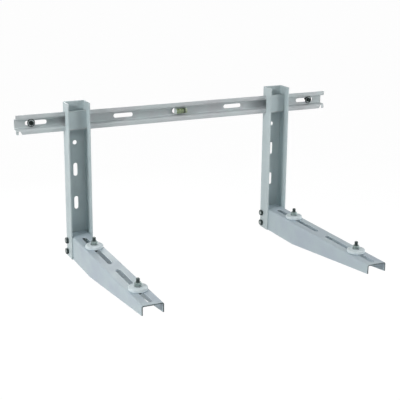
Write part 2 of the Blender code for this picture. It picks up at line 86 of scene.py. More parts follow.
# Where the brackets stand along the rail
BRACKET_PLACES = {"left": -262 * MM, "right": 256 * MM}

# The sockets of a colour Mix node: its share, its two colours and its result
SHARE, UNDER, OVER, MIXED = 0, 6, 7, 2

# The part of a noise's range over which clouds change colour, and over which their roughness drifts
CLOUD_SPAN = (0.38, 0.66)
DRIFT_SPAN = (0.3, 0.7)

# A flat outline lies in two of these axes and is drawn out along the third
PLAN = Matrix(((1, 0, 0), (0, 1, 0), (0, 0, 1)))
ALONG_X = Matrix(((0, 0, 1), (1, 0, 0), (0, 1, 0)))
ALONG_Y = Matrix(((1, 0, 0), (0, 0, 1), (0, 1, 0)))

Outline = Sequence[tuple[float, float]]
Measure = Union[float, Callable[[float], float]]
Ring = tuple[Measure, Measure]
Links = dict[Union[int, str], object]


class Carve(Enum):
    """What a cutter does to the piece that it meets."""

    CUT = "DIFFERENCE"
    JOIN = "UNION"


def linear(colour: str) -> tuple[float, float, float, float]:
    """Turns an sRGB hex colour to linear.

    Args:
        colour: The colour as "#rrggbb".

    Returns:
        Red, green, blue and an alpha of 1.
    """
    channels = []
    for start in (1, 3, 5):
        value = int(colour[start:start + 2], 16) / 255
        channels.append(value / 12.92 if value <= 0.04045 else ((value + 0.055) / 1.055) ** 2.4)
    return (channels[0], channels[1], channels[2], 1.0)


def add_node(tree: NodeTree, kind: str, links: Optional[Links] = None, **settings: object) -> Node:
    """Adds a node with its settings and links.

    Args:
        tree: The node tree that it joins.
        kind: The node's type name.
        links: Input names or numbers, each with the value or the output socket that feeds it.
        settings: Values of the node's own properties.

    Returns:
        The new node.
    """
    node = tree.nodes.new(kind)
    for name, value in settings.items():
        setattr(node, name, value)
    for socket, source in (links or {}).items():
        if isinstance(source, NodeSocket):
            tree.links.new(source, node.inputs[socket])
        else:
            node.inputs[socket].default_value = source
    return node


def blank_material(name: str) -> tuple[Material, NodeTree, Node]:
    """Makes a material with only its shader and output.

    Args:
        name: The material's name.

    Returns:
        The material, its node tree and its shader.
    """
    material = bpy.data.materials.new(name)
    material.use_nodes = True
    tree = material.node_tree
    tree.nodes.clear()
    shader = add_node(tree, "ShaderNodeBsdfPrincipled")
    add_node(tree, "ShaderNodeOutputMaterial", {"Surface": shader.outputs["BSDF"]})
    return material, tree, shader


def cloud_over(tree: NodeTree, shader: Node, place: NodeSocket, size: float,
               colours: tuple[str, str], gloss: tuple[float, float]) -> NodeSocket:
    """Gives a surface soft clouds of two colours, with a roughness that drifts with them.

    Args:
        tree: The node tree of the finish.
        shader: Its shader.
        place: The coordinates in metres.
        size: The size of a cloud in metres.
        colours: The body's colour and the clouds' colour.
        gloss: The lowest and highest roughness.

    Returns:
        The colour, which also feeds the shader.
    """
    links = {"Vector": place, "Scale": 1 / size, "Detail": 3.0, "Roughness": 0.55}
    clouds = add_node(tree, "ShaderNodeTexNoise", links).outputs["Fac"]
    links = {"Value": clouds, "From Min": CLOUD_SPAN[0], "From Max": CLOUD_SPAN[1]}
    share = add_node(tree, "ShaderNodeMapRange", links).outputs["Result"]
    links = {SHARE: share, UNDER: linear(colours[0]), OVER: linear(colours[1])}
    colour = add_node(tree, "ShaderNodeMix", links, data_type="RGBA").outputs[MIXED]
    links = {"Value": clouds, "From Min": DRIFT_SPAN[0], "From Max": DRIFT_SPAN[1]}
    links.update({"To Min": gloss[0], "To Max": gloss[1]})
    drift = add_node(tree, "ShaderNodeMapRange", links).outputs["Result"]
    tree.links.new(colour, shader.inputs["Base Color"])
    tree.links.new(drift, shader.inputs["Roughness"])
    return colour


def raise_grain(tree: NodeTree, shader: Node, place: NodeSocket, size: float, height: float) -> None:
    """Raises a fine grain on a surface.

    Args:
        tree: The node tree of the finish.
        shader: Its shader.
        place: The coordinates in metres.
        size: The distance between grains in metres.
        height: Their height in metres.
    """
    links = {"Vector": place, "Scale": 1 / size, "Detail": 1.5, "Roughness": 0.5}
    grain = add_node(tree, "ShaderNodeTexNoise", links).outputs["Fac"]
    bump = add_node(tree, "ShaderNodeBump", {"Height": grain, "Distance": height, "Strength": 0.5})
    tree.links.new(bump.outputs["Normal"], shader.inputs["Normal"])


@dataclass(frozen=True)
class PowderCoat:
    """Polyester powder coat baked on folded sheet steel: satin, with a fine orange peel."""

    name: str
    # How far the marks stretch along x, y and z: some 50 mm one way and 4 mm the others
    rub_stretch: tuple[float, float, float]
    rub_share: float
    body: str = "#C6D3D5"
    mottle: str = "#BECCCF"
    thin_edge: str = "#DAE3E4"
    rub_and_highlight: str = "#AEBABC"
    # Typical of a polyester film: IOR 1.5, satin gloss
    ior: float = 1.5
    gloss: tuple[float, float] = (0.40, 0.52)
    # A real orange peel is 1 to 2 mm across, too fine to show, so it is drawn at 3 mm
    peel_size: float = 3 * MM
    peel_height: float = 0.05 * MM
    # Slow unevenness of the film, from spray passes a hand's breadth apart
    film_patch: float = 60 * MM
    rub_width: float = 4 * MM
    # The film is thinner within about a millimetre of each edge
    edge_reach: float = 1.2 * MM
    # How much the rounded normal agrees with the face's own where an edge starts and is full
    edge_lean: tuple[float, float] = (0.985, 0.90)
    edge_share: float = 0.6
    # Only the strongest marks show
    rub_span: tuple[float, float] = (0.60, 0.78)
    # A sheared end that faces the room is coloured dark grey
    cut_edge: str = "#5C686B"
    # How far from the wall that end starts; 1 m lies beyond every piece and stands for no such end
    cut_from_wall: float = 1.0

    def build(self) -> Material:
        """Builds the finish.

        Returns:
            The material.
        """
        material, tree, shader = blank_material(self.name)
        shader.inputs["IOR"].default_value = self.ior
        place = add_node(tree, "ShaderNodeTexCoord").outputs["Object"]
        film = cloud_over(tree, shader, place, self.film_patch, (self.body, self.mottle), self.gloss)
        # Edges are found by how far a rounded normal leans from the face's own, and show lighter
        rounded = add_node(tree, "ShaderNodeBevel", {"Radius": self.edge_reach}, samples=4).outputs["Normal"]
        plain = add_node(tree, "ShaderNodeNewGeometry").outputs["Normal"]
        lean = add_node(tree, "ShaderNodeVectorMath", {0: rounded, 1: plain}, operation="DOT_PRODUCT")
        start, full = self.edge_lean
        links = {"Value": lean.outputs["Value"], "From Min": start, "From Max": full}
        links["To Max"] = self.edge_share
        share = add_node(tree, "ShaderNodeMapRange", links).outputs["Result"]
        links = {SHARE: share, UNDER: film, OVER: linear(self.thin_edge)}
        edged = add_node(tree, "ShaderNodeMix", links, data_type="RGBA").outputs[MIXED]
        # Faint marks where sheets have slid on each other
        links = {0: place, 1: self.rub_stretch}
        long_place = add_node(tree, "ShaderNodeVectorMath", links, operation="MULTIPLY").outputs["Vector"]
        links = {"Vector": long_place, "Scale": 1 / self.rub_width, "Detail": 4.0, "Roughness": 0.6}
        marks = add_node(tree, "ShaderNodeTexNoise", links).outputs["Fac"]
        start, full = self.rub_span
        links = {"Value": marks, "From Min": start, "From Max": full, "To Max": self.rub_share}
        share = add_node(tree, "ShaderNodeMapRange", links).outputs["Result"]
        links = {SHARE: share, UNDER: edged, OVER: linear(self.rub_and_highlight)}
        worn_and_highlit = add_node(tree, "ShaderNodeMix", links, data_type="RGBA").outputs[MIXED]
        depth = add_node(tree, "ShaderNodeSeparateXYZ", {"Vector": place}).outputs["Y"]
        links = {0: depth, 1: -self.cut_from_wall}
        cut = add_node(tree, "ShaderNodeMath", links, operation="LESS_THAN").outputs[0]
        links = {SHARE: cut, UNDER: worn_and_highlit, OVER: linear(self.cut_edge)}
        sheared = add_node(tree, "ShaderNodeMix", links, data_type="RGBA").outputs[MIXED]
        tree.links.new(sheared, shader.inputs["Base Color"])
        raise_grain(tree, shader, place, self.peel_size, self.peel_height)
        return material


@dataclass(frozen=True)
class PlatedSteel:
    """Plated carbon steel fastener, cold headed and thread rolled: a metal with faint draw marks."""

    name: str
    body: str
    stain: str
    gloss: tuple[float, float]
    # Stains of the passivation are a few millimetres across
    stain_size: float = 2.5 * MM
    # Real tool marks are some 0.05 mm apart, drawn here at 0.4 mm
    mark_size: float = 0.4 * MM
    mark_height: float = 0.01 * MM
    # The flat end of a head gets a painted highlight, a lighter disc; a head hangs below its piece's origin
    rub_and_highlight: str = "#AAB4B2"
    highlight_radius: float = 4.4 * MM
    highlight_core: float = 0.6
    highlight_below: float = 3.9 * MM

    def build(self) -> Material:
        """Builds the finish.

        Returns:
            The material.
        """
        material, tree, shader = blank_material(self.name)
        shader.inputs["Metallic"].default_value = 1.0
        place = add_node(tree, "ShaderNodeTexCoord").outputs["Object"]
        colour = cloud_over(tree, shader, place, self.stain_size, (self.body, self.stain), self.gloss)
        raise_grain(tree, shader, place, self.mark_size, self.mark_height)
        # A lighter disc on the head's flat end, inside the highlight radius: a painted highlight
        flat = add_node(tree, "ShaderNodeVectorMath", {0: place, 1: (1.0, 1.0, 0.0)}, operation="MULTIPLY")
        reach = add_node(tree, "ShaderNodeVectorMath", {0: flat.outputs["Vector"]}, operation="LENGTH")
        core = self.highlight_core * self.highlight_radius
        links = {"Value": reach.outputs["Value"], "From Min": self.highlight_radius, "From Max": core}
        inside = add_node(tree, "ShaderNodeMapRange", links).outputs["Result"]
        height = add_node(tree, "ShaderNodeSeparateXYZ", {"Vector": place}).outputs["Z"]
        links = {0: height, 1: -self.highlight_below}
        below = add_node(tree, "ShaderNodeMath", links, operation="LESS_THAN").outputs[0]
        share = add_node(tree, "ShaderNodeMath", {0: inside, 1: below}, operation="MULTIPLY").outputs[0]
        links = {SHARE: share, UNDER: colour, OVER: linear(self.rub_and_highlight)}
        worn_and_highlit = add_node(tree, "ShaderNodeMix", links, data_type="RGBA").outputs[MIXED]
        tree.links.new(worn_and_highlit, shader.inputs["Base Color"])
        return material


@dataclass(frozen=True)
class Moulded:
    """A moulded rubber or plastic: even colour, faint flow patches and a fine spark-eroded grain."""

    name: str
    body: str
    shade: str
    ior: float
    gloss: tuple[float, float]
    grain_size: float
    grain_height: float
    patch_size: float = 9 * MM

    def build(self) -> Material:
        """Builds the finish.

        Returns:
            The material.
        """
        material, tree, shader = blank_material(self.name)
        shader.inputs["IOR"].default_value = self.ior
        place = add_node(tree, "ShaderNodeTexCoord").outputs["Object"]
        cloud_over(tree, shader, place, self.patch_size, (self.body, self.shade), self.gloss)
        raise_grain(tree, shader, place, self.grain_size, self.grain_height)
        return material


@dataclass(frozen=True)
class VialAcrylic:
    """Cast acrylic tube filled with a yellow-green liquid: a deep colour under a clear, glossy wall."""

    name: str = "acrylic_vial"
    liquid: str = "#A3B786"
    deep: str = "#788F63"
    drift_size: float = 5 * MM
    # The acrylic wall: IOR 1.49, polished
    wall_ior: float = 1.49
    wall_gloss: float = 0.05
    # A quarter of the light passes, so the tube reads as filled
    liquid_gloss: float = 0.25
    clearness: float = 0.25

    def build(self) -> Material:
        """Builds the finish.

        Returns:
            The material.
        """
        material, tree, shader = blank_material(self.name)
        place = add_node(tree, "ShaderNodeTexCoord").outputs["Object"]
        links = {"Vector": place, "Scale": 1 / self.drift_size, "Detail": 1.0}
        drift = add_node(tree, "ShaderNodeTexNoise", links).outputs["Fac"]
        links = {SHARE: drift, UNDER: linear(self.liquid), OVER: linear(self.deep)}
        body = add_node(tree, "ShaderNodeMix", links, data_type="RGBA").outputs[MIXED]
        tree.links.new(body, shader.inputs["Base Color"])
        shader.inputs["Roughness"].default_value = self.liquid_gloss
        shader.inputs["IOR"].default_value = self.wall_ior
        shader.inputs["Transmission Weight"].default_value = self.clearness
        shader.inputs["Coat Weight"].default_value = 1.0
        shader.inputs["Coat Roughness"].default_value = self.wall_gloss
        shader.inputs["Coat IOR"].default_value = self.wall_ior
        return material


@dataclass(frozen=True)
class Finish:
    """One built material with the record's slot that it stands for."""

    material: Material
    slot: str


class Finishes:
    """Every finish of the bracket, built once."""

    def __init__(self) -> None:
        """Builds the materials."""
        # Satin powder coat: light blue-grey, soft highlights along the bends, rubbed by the uprights
        rail_coat = PowderCoat("powder_coated_rail", (0.08, 1.0, 1.0), 0.5, "#CAD4D5", "#C8CBCE")
        self.rail_sheet = Finish(rail_coat.build(), "painted_steel")
        # The same coat on the brackets, with fainter upright marks from stacking
        bracket_coat = PowderCoat("powder_coated_bracket", (1.0, 1.0, 0.08), 0.25)
        self.sheet = Finish(bracket_coat.build(), "painted_steel")
        # The arms have a darker copy of the coat, a shade bluer: painted shade for the dimmer light low on
        # the bracket
        arm_coat = PowderCoat("powder_coated_arm", (1.0, 0.08, 1.0), 0.25, "#B9C8CD", "#B4C0CA",
                              cut_from_wall=464.7 * MM)
        self.arm_sheet = Finish(arm_coat.build(), "painted_steel")
        # Black zinc on studs and bolt heads: dark, with brighter glints on the flats
        dark = PlatedSteel("black_zinc_steel", "#4C5554", "#3A4241", (0.30, 0.42))
        self.bolt = Finish(dark.build(), "dark_bolt_steel")
        # Dull zinc on the nuts: mid grey, a little green
        dull = PlatedSteel("dull_zinc_steel", "#9CAAA8", "#748381", (0.30, 0.42))
        self.nut = Finish(dull.build(), "dark_bolt_steel")
        # The wall screws are oiled black and duller, with a fainter painted highlight on their heads
        screw = PlatedSteel("oiled_black_steel", "#242A29", "#171C1B", (0.34, 0.48), rub_and_highlight="#39403F")
        self.screw = Finish(screw.build(), "dark_bolt_steel")
        # Bright zinc on washers: pale, slightly clouded
        zinc = PlatedSteel("bright_zinc_steel", "#A9B2B3", "#929C9E", (0.28, 0.40))
        self.washer = Finish(zinc.build(), "zinc_steel")
        # A black washer under each wall screw's steel dish: matt, its edge shows as a dark rim round the
        # head
        dark_rim_washer = Moulded("black_rim_washer", "#2C3333", "#232929", 1.5, (0.55, 0.7), 0.9 * MM, 0.02 * MM)
        self.dark_rim_washer = Finish(dark_rim_washer.build(), "zinc_steel")
        # EPDM rubber, compression moulded: pale grey, matt, faint bloom
        rubber = Moulded("pale_epdm", "#E4EFF2", "#D8E4E8", 1.5, (0.62, 0.78), 0.9 * MM, 0.03 * MM)
        self.pad = Finish(rubber.build(), "pad_rubber")
        # ABS, injection moulded: light grey, half matt
        plastic = Moulded("grey_abs", "#D2DAD7", "#C6CFCC", 1.53, (0.38, 0.5), 0.6 * MM, 0.01 * MM)
        self.holder = Finish(plastic.build(), "grey_plastic")
        # The same ABS dyed dark green for the band that closes the tube
        green = Moulded("green_abs", "#36452F", "#2D3A28", 1.53, (0.3, 0.42), 0.6 * MM, 0.01 * MM)
        self.band = Finish(green.build(), "dark_plastic")
        # Pale green ABS for the cap beyond the band
        pale = Moulded("pale_green_abs", "#B4C0A4", "#A8B498", 1.53, (0.3, 0.42), 0.6 * MM, 0.01 * MM)
        self.cap = Finish(pale.build(), "dark_plastic")
        self.vial = Finish(VialAcrylic().build(), "vial_acrylic")
        # The bubble is air behind the acrylic wall: pale and shiny
        bubble = Moulded("air_bubble", "#C0D0A2", "#B5C794", 1.33, (0.08, 0.15), 0.6 * MM, 0.002 * MM)
        self.bubble = Finish(bubble.build(), "vial_acrylic")
        # Reading lines are printed on the tube in black ink
        ink = Moulded("black_ink", "#1E211F", "#181B19", 1.5, (0.3, 0.4), 0.5 * MM, 0.002 * MM)
        self.ink = Finish(ink.build(), "dark_plastic")


def box_outline(left: float, right: float, low: float, high: float) -> Outline:
    """The corners of an upright rectangle, counted round from its lower left."""
    return [(left, low), (right, low), (right, high), (left, high)]


def circle_outline(centre: tuple[float, float], radius: float, sides: int = ROUND_SIDES) -> Outline:
    """The corners of a circle with the given middle, radius and number of sides."""
    turns = [2 * math.pi * step / sides for step in range(sides)]
    return [(centre[0] + radius * math.cos(turn), centre[1] + radius * math.sin(turn)) for turn in turns]


def slot_outline(centre: tuple[float, float], length: float, width: float, upright: bool = False) -> Outline:
    """A slot with round ends.

    Args:
        centre: The slot's middle.
        length: Its length over the round ends.
        width: Its width.
        upright: True where it runs along the second axis.

    Returns:
        The slot's outline.
    """
    radius = width / 2
    reach = length / 2 - radius
    points = []
    for side, first in ((1, -QUARTER), (-1, QUARTER)):
        for step in range(SLOT_END_STEPS + 1):
            turn = first + math.pi * step / SLOT_END_STEPS
            points.append((side * reach + radius * math.cos(turn), radius * math.sin(turn)))
    if upright:
        points = [(-v, u) for u, v in points]
    return [(centre[0] + u, centre[1] + v) for u, v in points]


def folded_outline(corners: Outline, sheet: float, bends: Sequence[float]) -> Outline:
    """The section of a sheet folded along its middle line, with round bends.

    Args:
        corners: The points of the middle line.
        sheet: The sheet's thickness.
        bends: The inside radius at each inner corner.

    Returns:
        The closed outline of the section.
    """
    points = [Vector(corner) for corner in corners]
    half = sheet / 2
    near: list[Vector] = []
    far: list[Vector] = []

    def left_of(direction: Vector) -> Vector:
        """The direction turned a quarter to the left."""
        return Vector((-direction.y, direction.x))

    def mark(middle: Vector, normal: Vector) -> None:
        """Adds the two faces of the sheet at a point of its middle line."""
        near.append(middle + normal * half)
        far.append(middle - normal * half)

    mark(points[0], left_of((points[1] - points[0]).normalized()))
    for index, bend in enumerate(bends, start=1):
        into = (points[index] - points[index - 1]).normalized()
        out = (points[index + 1] - points[index]).normalized()
        turn = math.atan2(into.x * out.y - into.y * out.x, into.dot(out))
        side = math.copysign(1, turn)
        radius = bend + half
        centre = points[index] - into * radius * math.tan(abs(turn) / 2) + left_of(into) * side * radius
        for step in range(BEND_STEPS + 1):
            normal = Matrix.Rotation(turn * step / BEND_STEPS, 2) @ left_of(into)
            mark(centre - normal * side * radius, normal)
    mark(points[-1], left_of((points[-1] - points[-2]).normalized()))
    return [(point.x, point.y) for point in near + far[::-1]]


def channel_outline(width: float, depth: float, sheet: float, bend: float) -> Outline:
    """The section of a channel.

    Args:
        width: Its outside width.
        depth: Its outside depth, down from v = 0.
        sheet: The sheet's thickness.
        bend: The inside radius of its two bends.

    Returns:
        The closed outline of the section.
    """
    side = width / 2 - sheet / 2
    corners = [(-side, -depth), (-side, -sheet / 2), (side, -sheet / 2), (side, -depth)]
    return folded_outline(corners, sheet, (bend, bend))


def finish_shape(name: str, shape: bmesh.types.BMesh) -> Mesh:
    """Makes a mesh of a bmesh, with its faces pointing out.

    Args:
        name: The mesh's name.
        shape: The bmesh, which is freed.

    Returns:
        The mesh.
    """
    bmesh.ops.recalc_face_normals(shape, faces=shape.faces)
    mesh = bpy.data.meshes.new(name)
    shape.to_mesh(mesh)
    shape.free()
    return mesh


def prisms(name: str, outlines: Sequence[Outline], start: float, end: float, axes: Matrix) -> Mesh:
    """Closed outlines drawn out along an axis.

    Args:
        name: The mesh's name.
        outlines: The closed outlines.
        start: Where they start along the third of the axes.
        end: Where they end along it.
        axes: The axes of the outlines and of their drawing.

    Returns:
        The mesh.
    """
    shape = bmesh.new()
    for outline in outlines:
        rings = []
        for level in (start, end):
            rings.append([shape.verts.new(axes @ Vector((u, v, level))) for u, v in outline])
        shape.faces.new(rings[0])
        shape.faces.new(rings[1])
        for index in range(len(outline)):
            after = (index + 1) % len(outline)
            shape.faces.new((rings[0][index], rings[0][after], rings[1][after], rings[1][index]))
    return finish_shape(name, shape)


def turned(name: str, rings: Sequence[Ring], sides: int = ROUND_SIDES, hollow: bool = False) -> Mesh:
    """A shape turned round the z axis.

    Args:
        name: The mesh's name.
        rings: Pairs of height and radius, where either may be a function of the turn.
        sides: How many sides it has.
        hollow: True where it closes from its last ring to its first, and not by flat ends.

    Returns:
        The mesh.
    """
    shape = bmesh.new()
    loops = []
    for height, radius in rings:
        loop = []
        for step in range(sides):
            turn = 2 * math.pi * step / sides
            reach = radius(turn) if callable(radius) else radius
            level = height(turn) if callable(height) else height
            loop.append(shape.verts.new((reach * math.cos(turn), reach * math.sin(turn), level)))
        loops.append(loop)
    pairs = list(zip(loops, loops[1:]))
    if hollow:
        pairs.append((loops[-1], loops[0]))
    else:
        shape.faces.new(loops[0])
        shape.faces.new(loops[-1])
    for lower, upper in pairs:
        for step in range(sides):
            after = (step + 1) % sides
            shape.faces.new((lower[step], lower[after], upper[after], upper[step]))
    return finish_shape(name, shape)


def loose(name: str, data: ID) -> Object:
    """Puts a mesh, a lamp or a camera in the scene as an object at the origin.

    Args:
        name: The object's name.
        data: Its mesh, light or camera data.

    Returns:
        The object.
    """
    piece = bpy.data.objects.new(name, data)
    bpy.context.collection.objects.link(piece)
    return piece


@dataclass(frozen=True)
class Cutter:
    """A mesh that cuts a piece or joins it."""

    mesh: Mesh
    action: Carve = Carve.CUT


def made_piece(name: str, mesh: Mesh, finish: Finish, cutters: Sequence[Cutter] = (),
               eased: float = 0.0, steps: int = 2) -> Object:
    """Carves a mesh, eases its sharp edges, smooths its round faces and gives it its finish's material.

    Args:
        name: The piece's name.
        mesh: Its first shape.
        finish: Its finish.
        cutters: What is cut from it or joined to it, in order.
        eased: The width of the eased edges, or 0 for none.
        steps: How many faces each eased edge has.

    Returns:
        The piece, with only its shading modifier left.
    """
    piece = loose(name, mesh)
    helpers = []
    for index, cutter in enumerate(cutters):
        helpers.append(loose(f"{name}_helper_{index}", cutter.mesh))
        carve = piece.modifiers.new("carve", "BOOLEAN")
        carve.operation = cutter.action.value
        carve.solver = "EXACT"
        carve.object = helpers[-1]
    if eased:
        ease = piece.modifiers.new("ease", "BEVEL")
        ease.width = eased
        ease.segments = steps
        ease.limit_method = "ANGLE"
        ease.angle_limit = SHARP_ANGLE
        ease.use_clamp_overlap = True
        ease.harden_normals = False
    bpy.context.view_layer.update()
    graph = bpy.context.evaluated_depsgraph_get()
    result = bpy.data.meshes.new_from_object(piece.evaluated_get(graph))
    result.name = name
    piece.modifiers.clear()
    piece.data = result
    for helper in helpers:
        bpy.data.objects.remove(helper)
    result.shade_smooth()
    result.set_sharp_from_angle(angle=SHARP_ANGLE)
    weigh = piece.modifiers.new("weigh", "WEIGHTED_NORMAL")
    weigh.keep_sharp = True
    result.materials.clear()
    result.materials.append(finish.material)
    return piece


def seat(piece: Object, body: str, node: Optional[str], location: Sequence[float] = (0, 0, 0),
         turn: Sequence[float] = (0, 0, 0)) -> None:
    """Puts a piece in place and on its body.

    Args:
        piece: The piece.
        body: The body that it rides on.
        node: The solid that it stands for, or None for an added piece.
        location: Its place in metres.
        turn: Its turn about x, y and z.
    """
    piece.location = location
    piece.rotation_euler = turn
    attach(piece, body)
    if node:
        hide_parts(node)
    LOG.info("%s rides on %s", piece.name, body)


@dataclass(frozen=True)
class Thread:
    """A hexagon fastener size: its thread, head and nut."""

    radius: float
    pitch: float
    across_flats: float
    crown_radius: float
    head_height: float
    nut_height: float
    rows_per_turn: int = 8
    sides: int = 36
    # The groove's depth and half width as shares of the pitch
    depth_share: float = 0.54
    flank_share: float = 0.42
    # The most of the radius that a point takes off
    point_share: float = 0.8
    # The forged dish in a head: its floor and rim as shares of the crown's radius, and its depth
    dish_floor: float = 0.55
    dish_rim: float = 0.68
    dish_depth: float = 0.35 * MM
    face_inset: float = 0.2 * MM
    countersink: float = 0.6 * MM
    # How far the shank's root reaches into the head, as a share of the head's height
    root_share: float = 0.4

    @property
    def depth(self) -> float:
        """The depth of the rolled groove."""
        return self.depth_share * self.pitch

    def hex_edge(self, turn: float) -> float:
        """How far the hexagon's edge lies from its middle in the direction of a turn."""
        sector = math.pi / 3
        return self.across_flats / 2 / math.cos((turn + sector / 2) % sector - sector / 2)

    def chamfer_drop(self, turn: float) -> float:
        """How far the 30 degree chamfer has fallen where it meets the hexagon's side."""
        return max(0.0, self.hex_edge(turn) - self.crown_radius) * math.tan(math.radians(30))

    def shank(self, name: str, start: float, end: float, thread_from: float, point: float) -> Mesh:
        """A shank along z with a rolled thread.

        Args:
            name: The mesh's name.
            start: Where the shank starts.
            end: Where its tip is.
            thread_from: Where the thread starts.
            point: The length of its chamfer or point.

        Returns:
            The mesh.
        """
        step = self.pitch / self.rows_per_turn
        rows = max(2, round((end - start) / step))
        rings: list[Ring] = []

        def groove(height: float) -> Callable[[float], float]:
            """The shank's radius round one height.

            Args:
                height: The height along the shank.

            Returns:
                The radius as a function of the turn.
            """

            def reach(turn: float) -> float:
                """The radius in the direction of a turn.

                Args:
                    turn: The turn in radians.

                Returns:
                    The radius there.
                """
                phase = (height / self.pitch - turn / (2 * math.pi)) % 1
                cut = self.depth * max(0.0, 1 - abs(phase - 0.5) / self.flank_share)
                run_in = min(1.0, max(0.0, (height - thread_from) / self.pitch))
                limit = self.radius
                if height > end - point:
                    most = min(point, self.radius * self.point_share)
                    limit = self.radius - (height - (end - point)) / point * most
                return min(self.radius - cut * run_in, limit)

            return reach

        for row in range(rows + 1):
            height = start + (end - start) * row / rows
            rings.append((height, groove(height)))
        return turned(name, rings, self.sides)

    def head(self, name: str, washer_face: float) -> Mesh:
        """A forged hexagon head below z = 0, with a chamfered top and a washer face.

        Args:
            name: The mesh's name.
            washer_face: The height of the round face under the head.

        Returns:
            The mesh.
        """
        face = self.crown_radius - self.face_inset
        rings: list[Ring] = [
            (-self.head_height + self.dish_depth, self.dish_floor * self.crown_radius),
            (-self.head_height, self.dish_rim * self.crown_radius),
            (-self.head_height, self.crown_radius),
            (lambda turn: -self.head_height + self.chamfer_drop(turn), self.hex_edge),
            (-washer_face, self.hex_edge),
            (-washer_face, face),
            (0, face),
        ]
        return turned(name, rings, self.sides)

    def nut(self, name: str, finish: Finish) -> Object:
        """A hexagon nut standing on z = 0, chamfered on both faces and countersunk at its bore.

        Args:
            name: The piece's name.
            finish: Its finish.

        Returns:
            The piece.
        """
        bore = self.radius + BOLT_PLAY
        sink = self.countersink
        rings: list[Ring] = [
            (0, self.crown_radius),
            (self.chamfer_drop, self.hex_edge),
            (lambda turn: self.nut_height - self.chamfer_drop(turn), self.hex_edge),
            (self.nut_height, self.crown_radius),
            (self.nut_height, bore + sink),
            (self.nut_height - sink, bore),
            (sink, bore),
            (0, bore + sink),
        ]
        mesh = turned(name, rings, self.sides, hollow=True)
        return made_piece(name, mesh, finish, (), HEX_EASE, 1)

    def bolt(self, name: str, length: float, thread_from: float, point: float, finish: Finish) -> Object:
        """A bolt with its head below z = 0 and its threaded shank up from it.

        Args:
            name: The piece's name.
            length: The length of the shank.
            thread_from: Where the thread starts.
            point: The length of its chamfer or point.
            finish: Its finish.

        Returns:
            The piece.
        """
        root = -self.root_share * self.head_height
        shank = self.shank(name + "_shank", root, length, thread_from, point)
        head = self.head(name, WASHER_FACE)
        return made_piece(name, head, finish, [Cutter(shank, Carve.JOIN)], HEX_EASE, 1)


def ring_washer(name: str, bore: float, radius: float, sheet: float, finish: Finish) -> Object:
    """A punched washer standing on z = 0.

    Args:
        name: The piece's name.
        bore: The radius of its bore.
        radius: Its outer radius.
        sheet: Its thickness.
        finish: Its finish.

    Returns:
        The piece.
    """
    burr = BURR_SHARE * sheet
    rings: list[Ring] = [
        (0, bore + burr),
        (burr, bore),
        (sheet - burr, bore),
        (sheet, bore + burr),
        (sheet, radius - burr),
        (sheet - burr, radius),
        (burr, radius),
        (0, radius - burr),
    ]
    return made_piece(name, turned(name, rings, hollow=True), finish)


@dataclass
class Fasteners:
    """The two thread sizes that the bracket uses."""

    m8: Thread = field(
        default_factory=lambda: Thread(4 * MM, 1.25 * MM, 13 * MM, 6.3 * MM, 5.3 * MM, 6.5 * MM))
    # A wall screw has a coarse thread
    m6: Thread = field(
        default_factory=lambda: Thread(3 * MM, 2.0 * MM, 10 * MM, 4.85 * MM, 4.2 * MM, 5 * MM))


@dataclass
class Rail:
    """The hat-section rail, screwed to the wall through its end slots."""

    length: float = 800 * MM
    height: float = 44 * MM
    depth: float = 18 * MM
    crown: float = 25 * MM
    sheet: float = 2 * MM
    crown_bend: float = 2 * MM
    brim_bend: float = 3.5 * MM
    slot_width: float = 10 * MM
    end_slot_length: float = 50 * MM
    end_slot_inset: float = 49 * MM
    inner_slot_length: float = 48 * MM
    inner_slot_spacing: float = 286 * MM
    window_length: float = 37 * MM
    window_height: float = 13 * MM
    stop_tab_width: float = 6 * MM
    stop_notch_mouth: float = 7.5 * MM
    stop_notch_root: float = 3.5 * MM
    stop_notch_height: float = 7.8 * MM
    eased: float = 0.35 * MM

    def section(self) -> Outline:
        """The hat section as (y, z) points.

        Returns:
            The closed outline.
        """
        front = -self.depth + self.sheet / 2
        back = -self.sheet / 2
        ledge = self.crown / 2 - self.sheet / 2
        tip = self.height / 2
        upper = [(front, tip), (front, ledge), (back, ledge)]
        corners = upper + [(y, -z) for y, z in reversed(upper)]
        bends = (self.brim_bend, self.crown_bend, self.crown_bend, self.brim_bend)
        return folded_outline(corners, self.sheet, bends)

    def slots(self) -> Mesh:
        """The slots and the level window, as one cutter through the crown.

        Returns:
            The cutter's mesh.
        """
        outlines = [slot_outline((0, 0), self.window_length, self.window_height)]
        for side in (-1, 1):
            end = (side * (self.length / 2 - self.end_slot_inset), 0)
            inner = (side * self.inner_slot_spacing / 2, 0)
            outlines.append(slot_outline(end, self.end_slot_length, self.slot_width))
            outlines.append(slot_outline(inner, self.inner_slot_length, self.slot_width))
        return prisms("rail_slots", outlines, -self.sheet - CUT_MARGIN, CUT_MARGIN, ALONG_Y)

    def stops(self) -> Mesh:
        """The notches near the ends of the lower brim, which leave the stop tabs.

        Returns:
            The cutter's mesh.
        """
        mouth = -self.height / 2 - CUT_MARGIN
        root = -self.height / 2 + self.stop_notch_height
        depth = root - mouth
        spread_out = (self.stop_notch_mouth - self.stop_notch_root) * depth / self.stop_notch_height
        outlines = []
        for side in (-1, 1):
            tab = side * (self.length / 2 - self.stop_tab_width)
            inner = tab - side * self.stop_notch_root
            outlines.append([(tab, mouth), (tab, root), (inner, root), (inner - side * spread_out, mouth)])
        back = -self.depth + self.sheet + self.brim_bend
        return prisms("rail_stops", outlines, -self.depth - CUT_MARGIN, back, ALONG_Y)

    def build(self, finishes: Finishes) -> None:
        """Builds the rail.

        Args:
            finishes: The finishes.
        """
        mesh = prisms("rail_sheet", [self.section()], -self.length / 2, self.length / 2, ALONG_X)
        cutters = [Cutter(self.slots()), Cutter(self.stops())]
        piece = made_piece("rail_sheet", mesh, finishes.rail_sheet, cutters, self.eased)
        seat(piece, "rail", "rail")


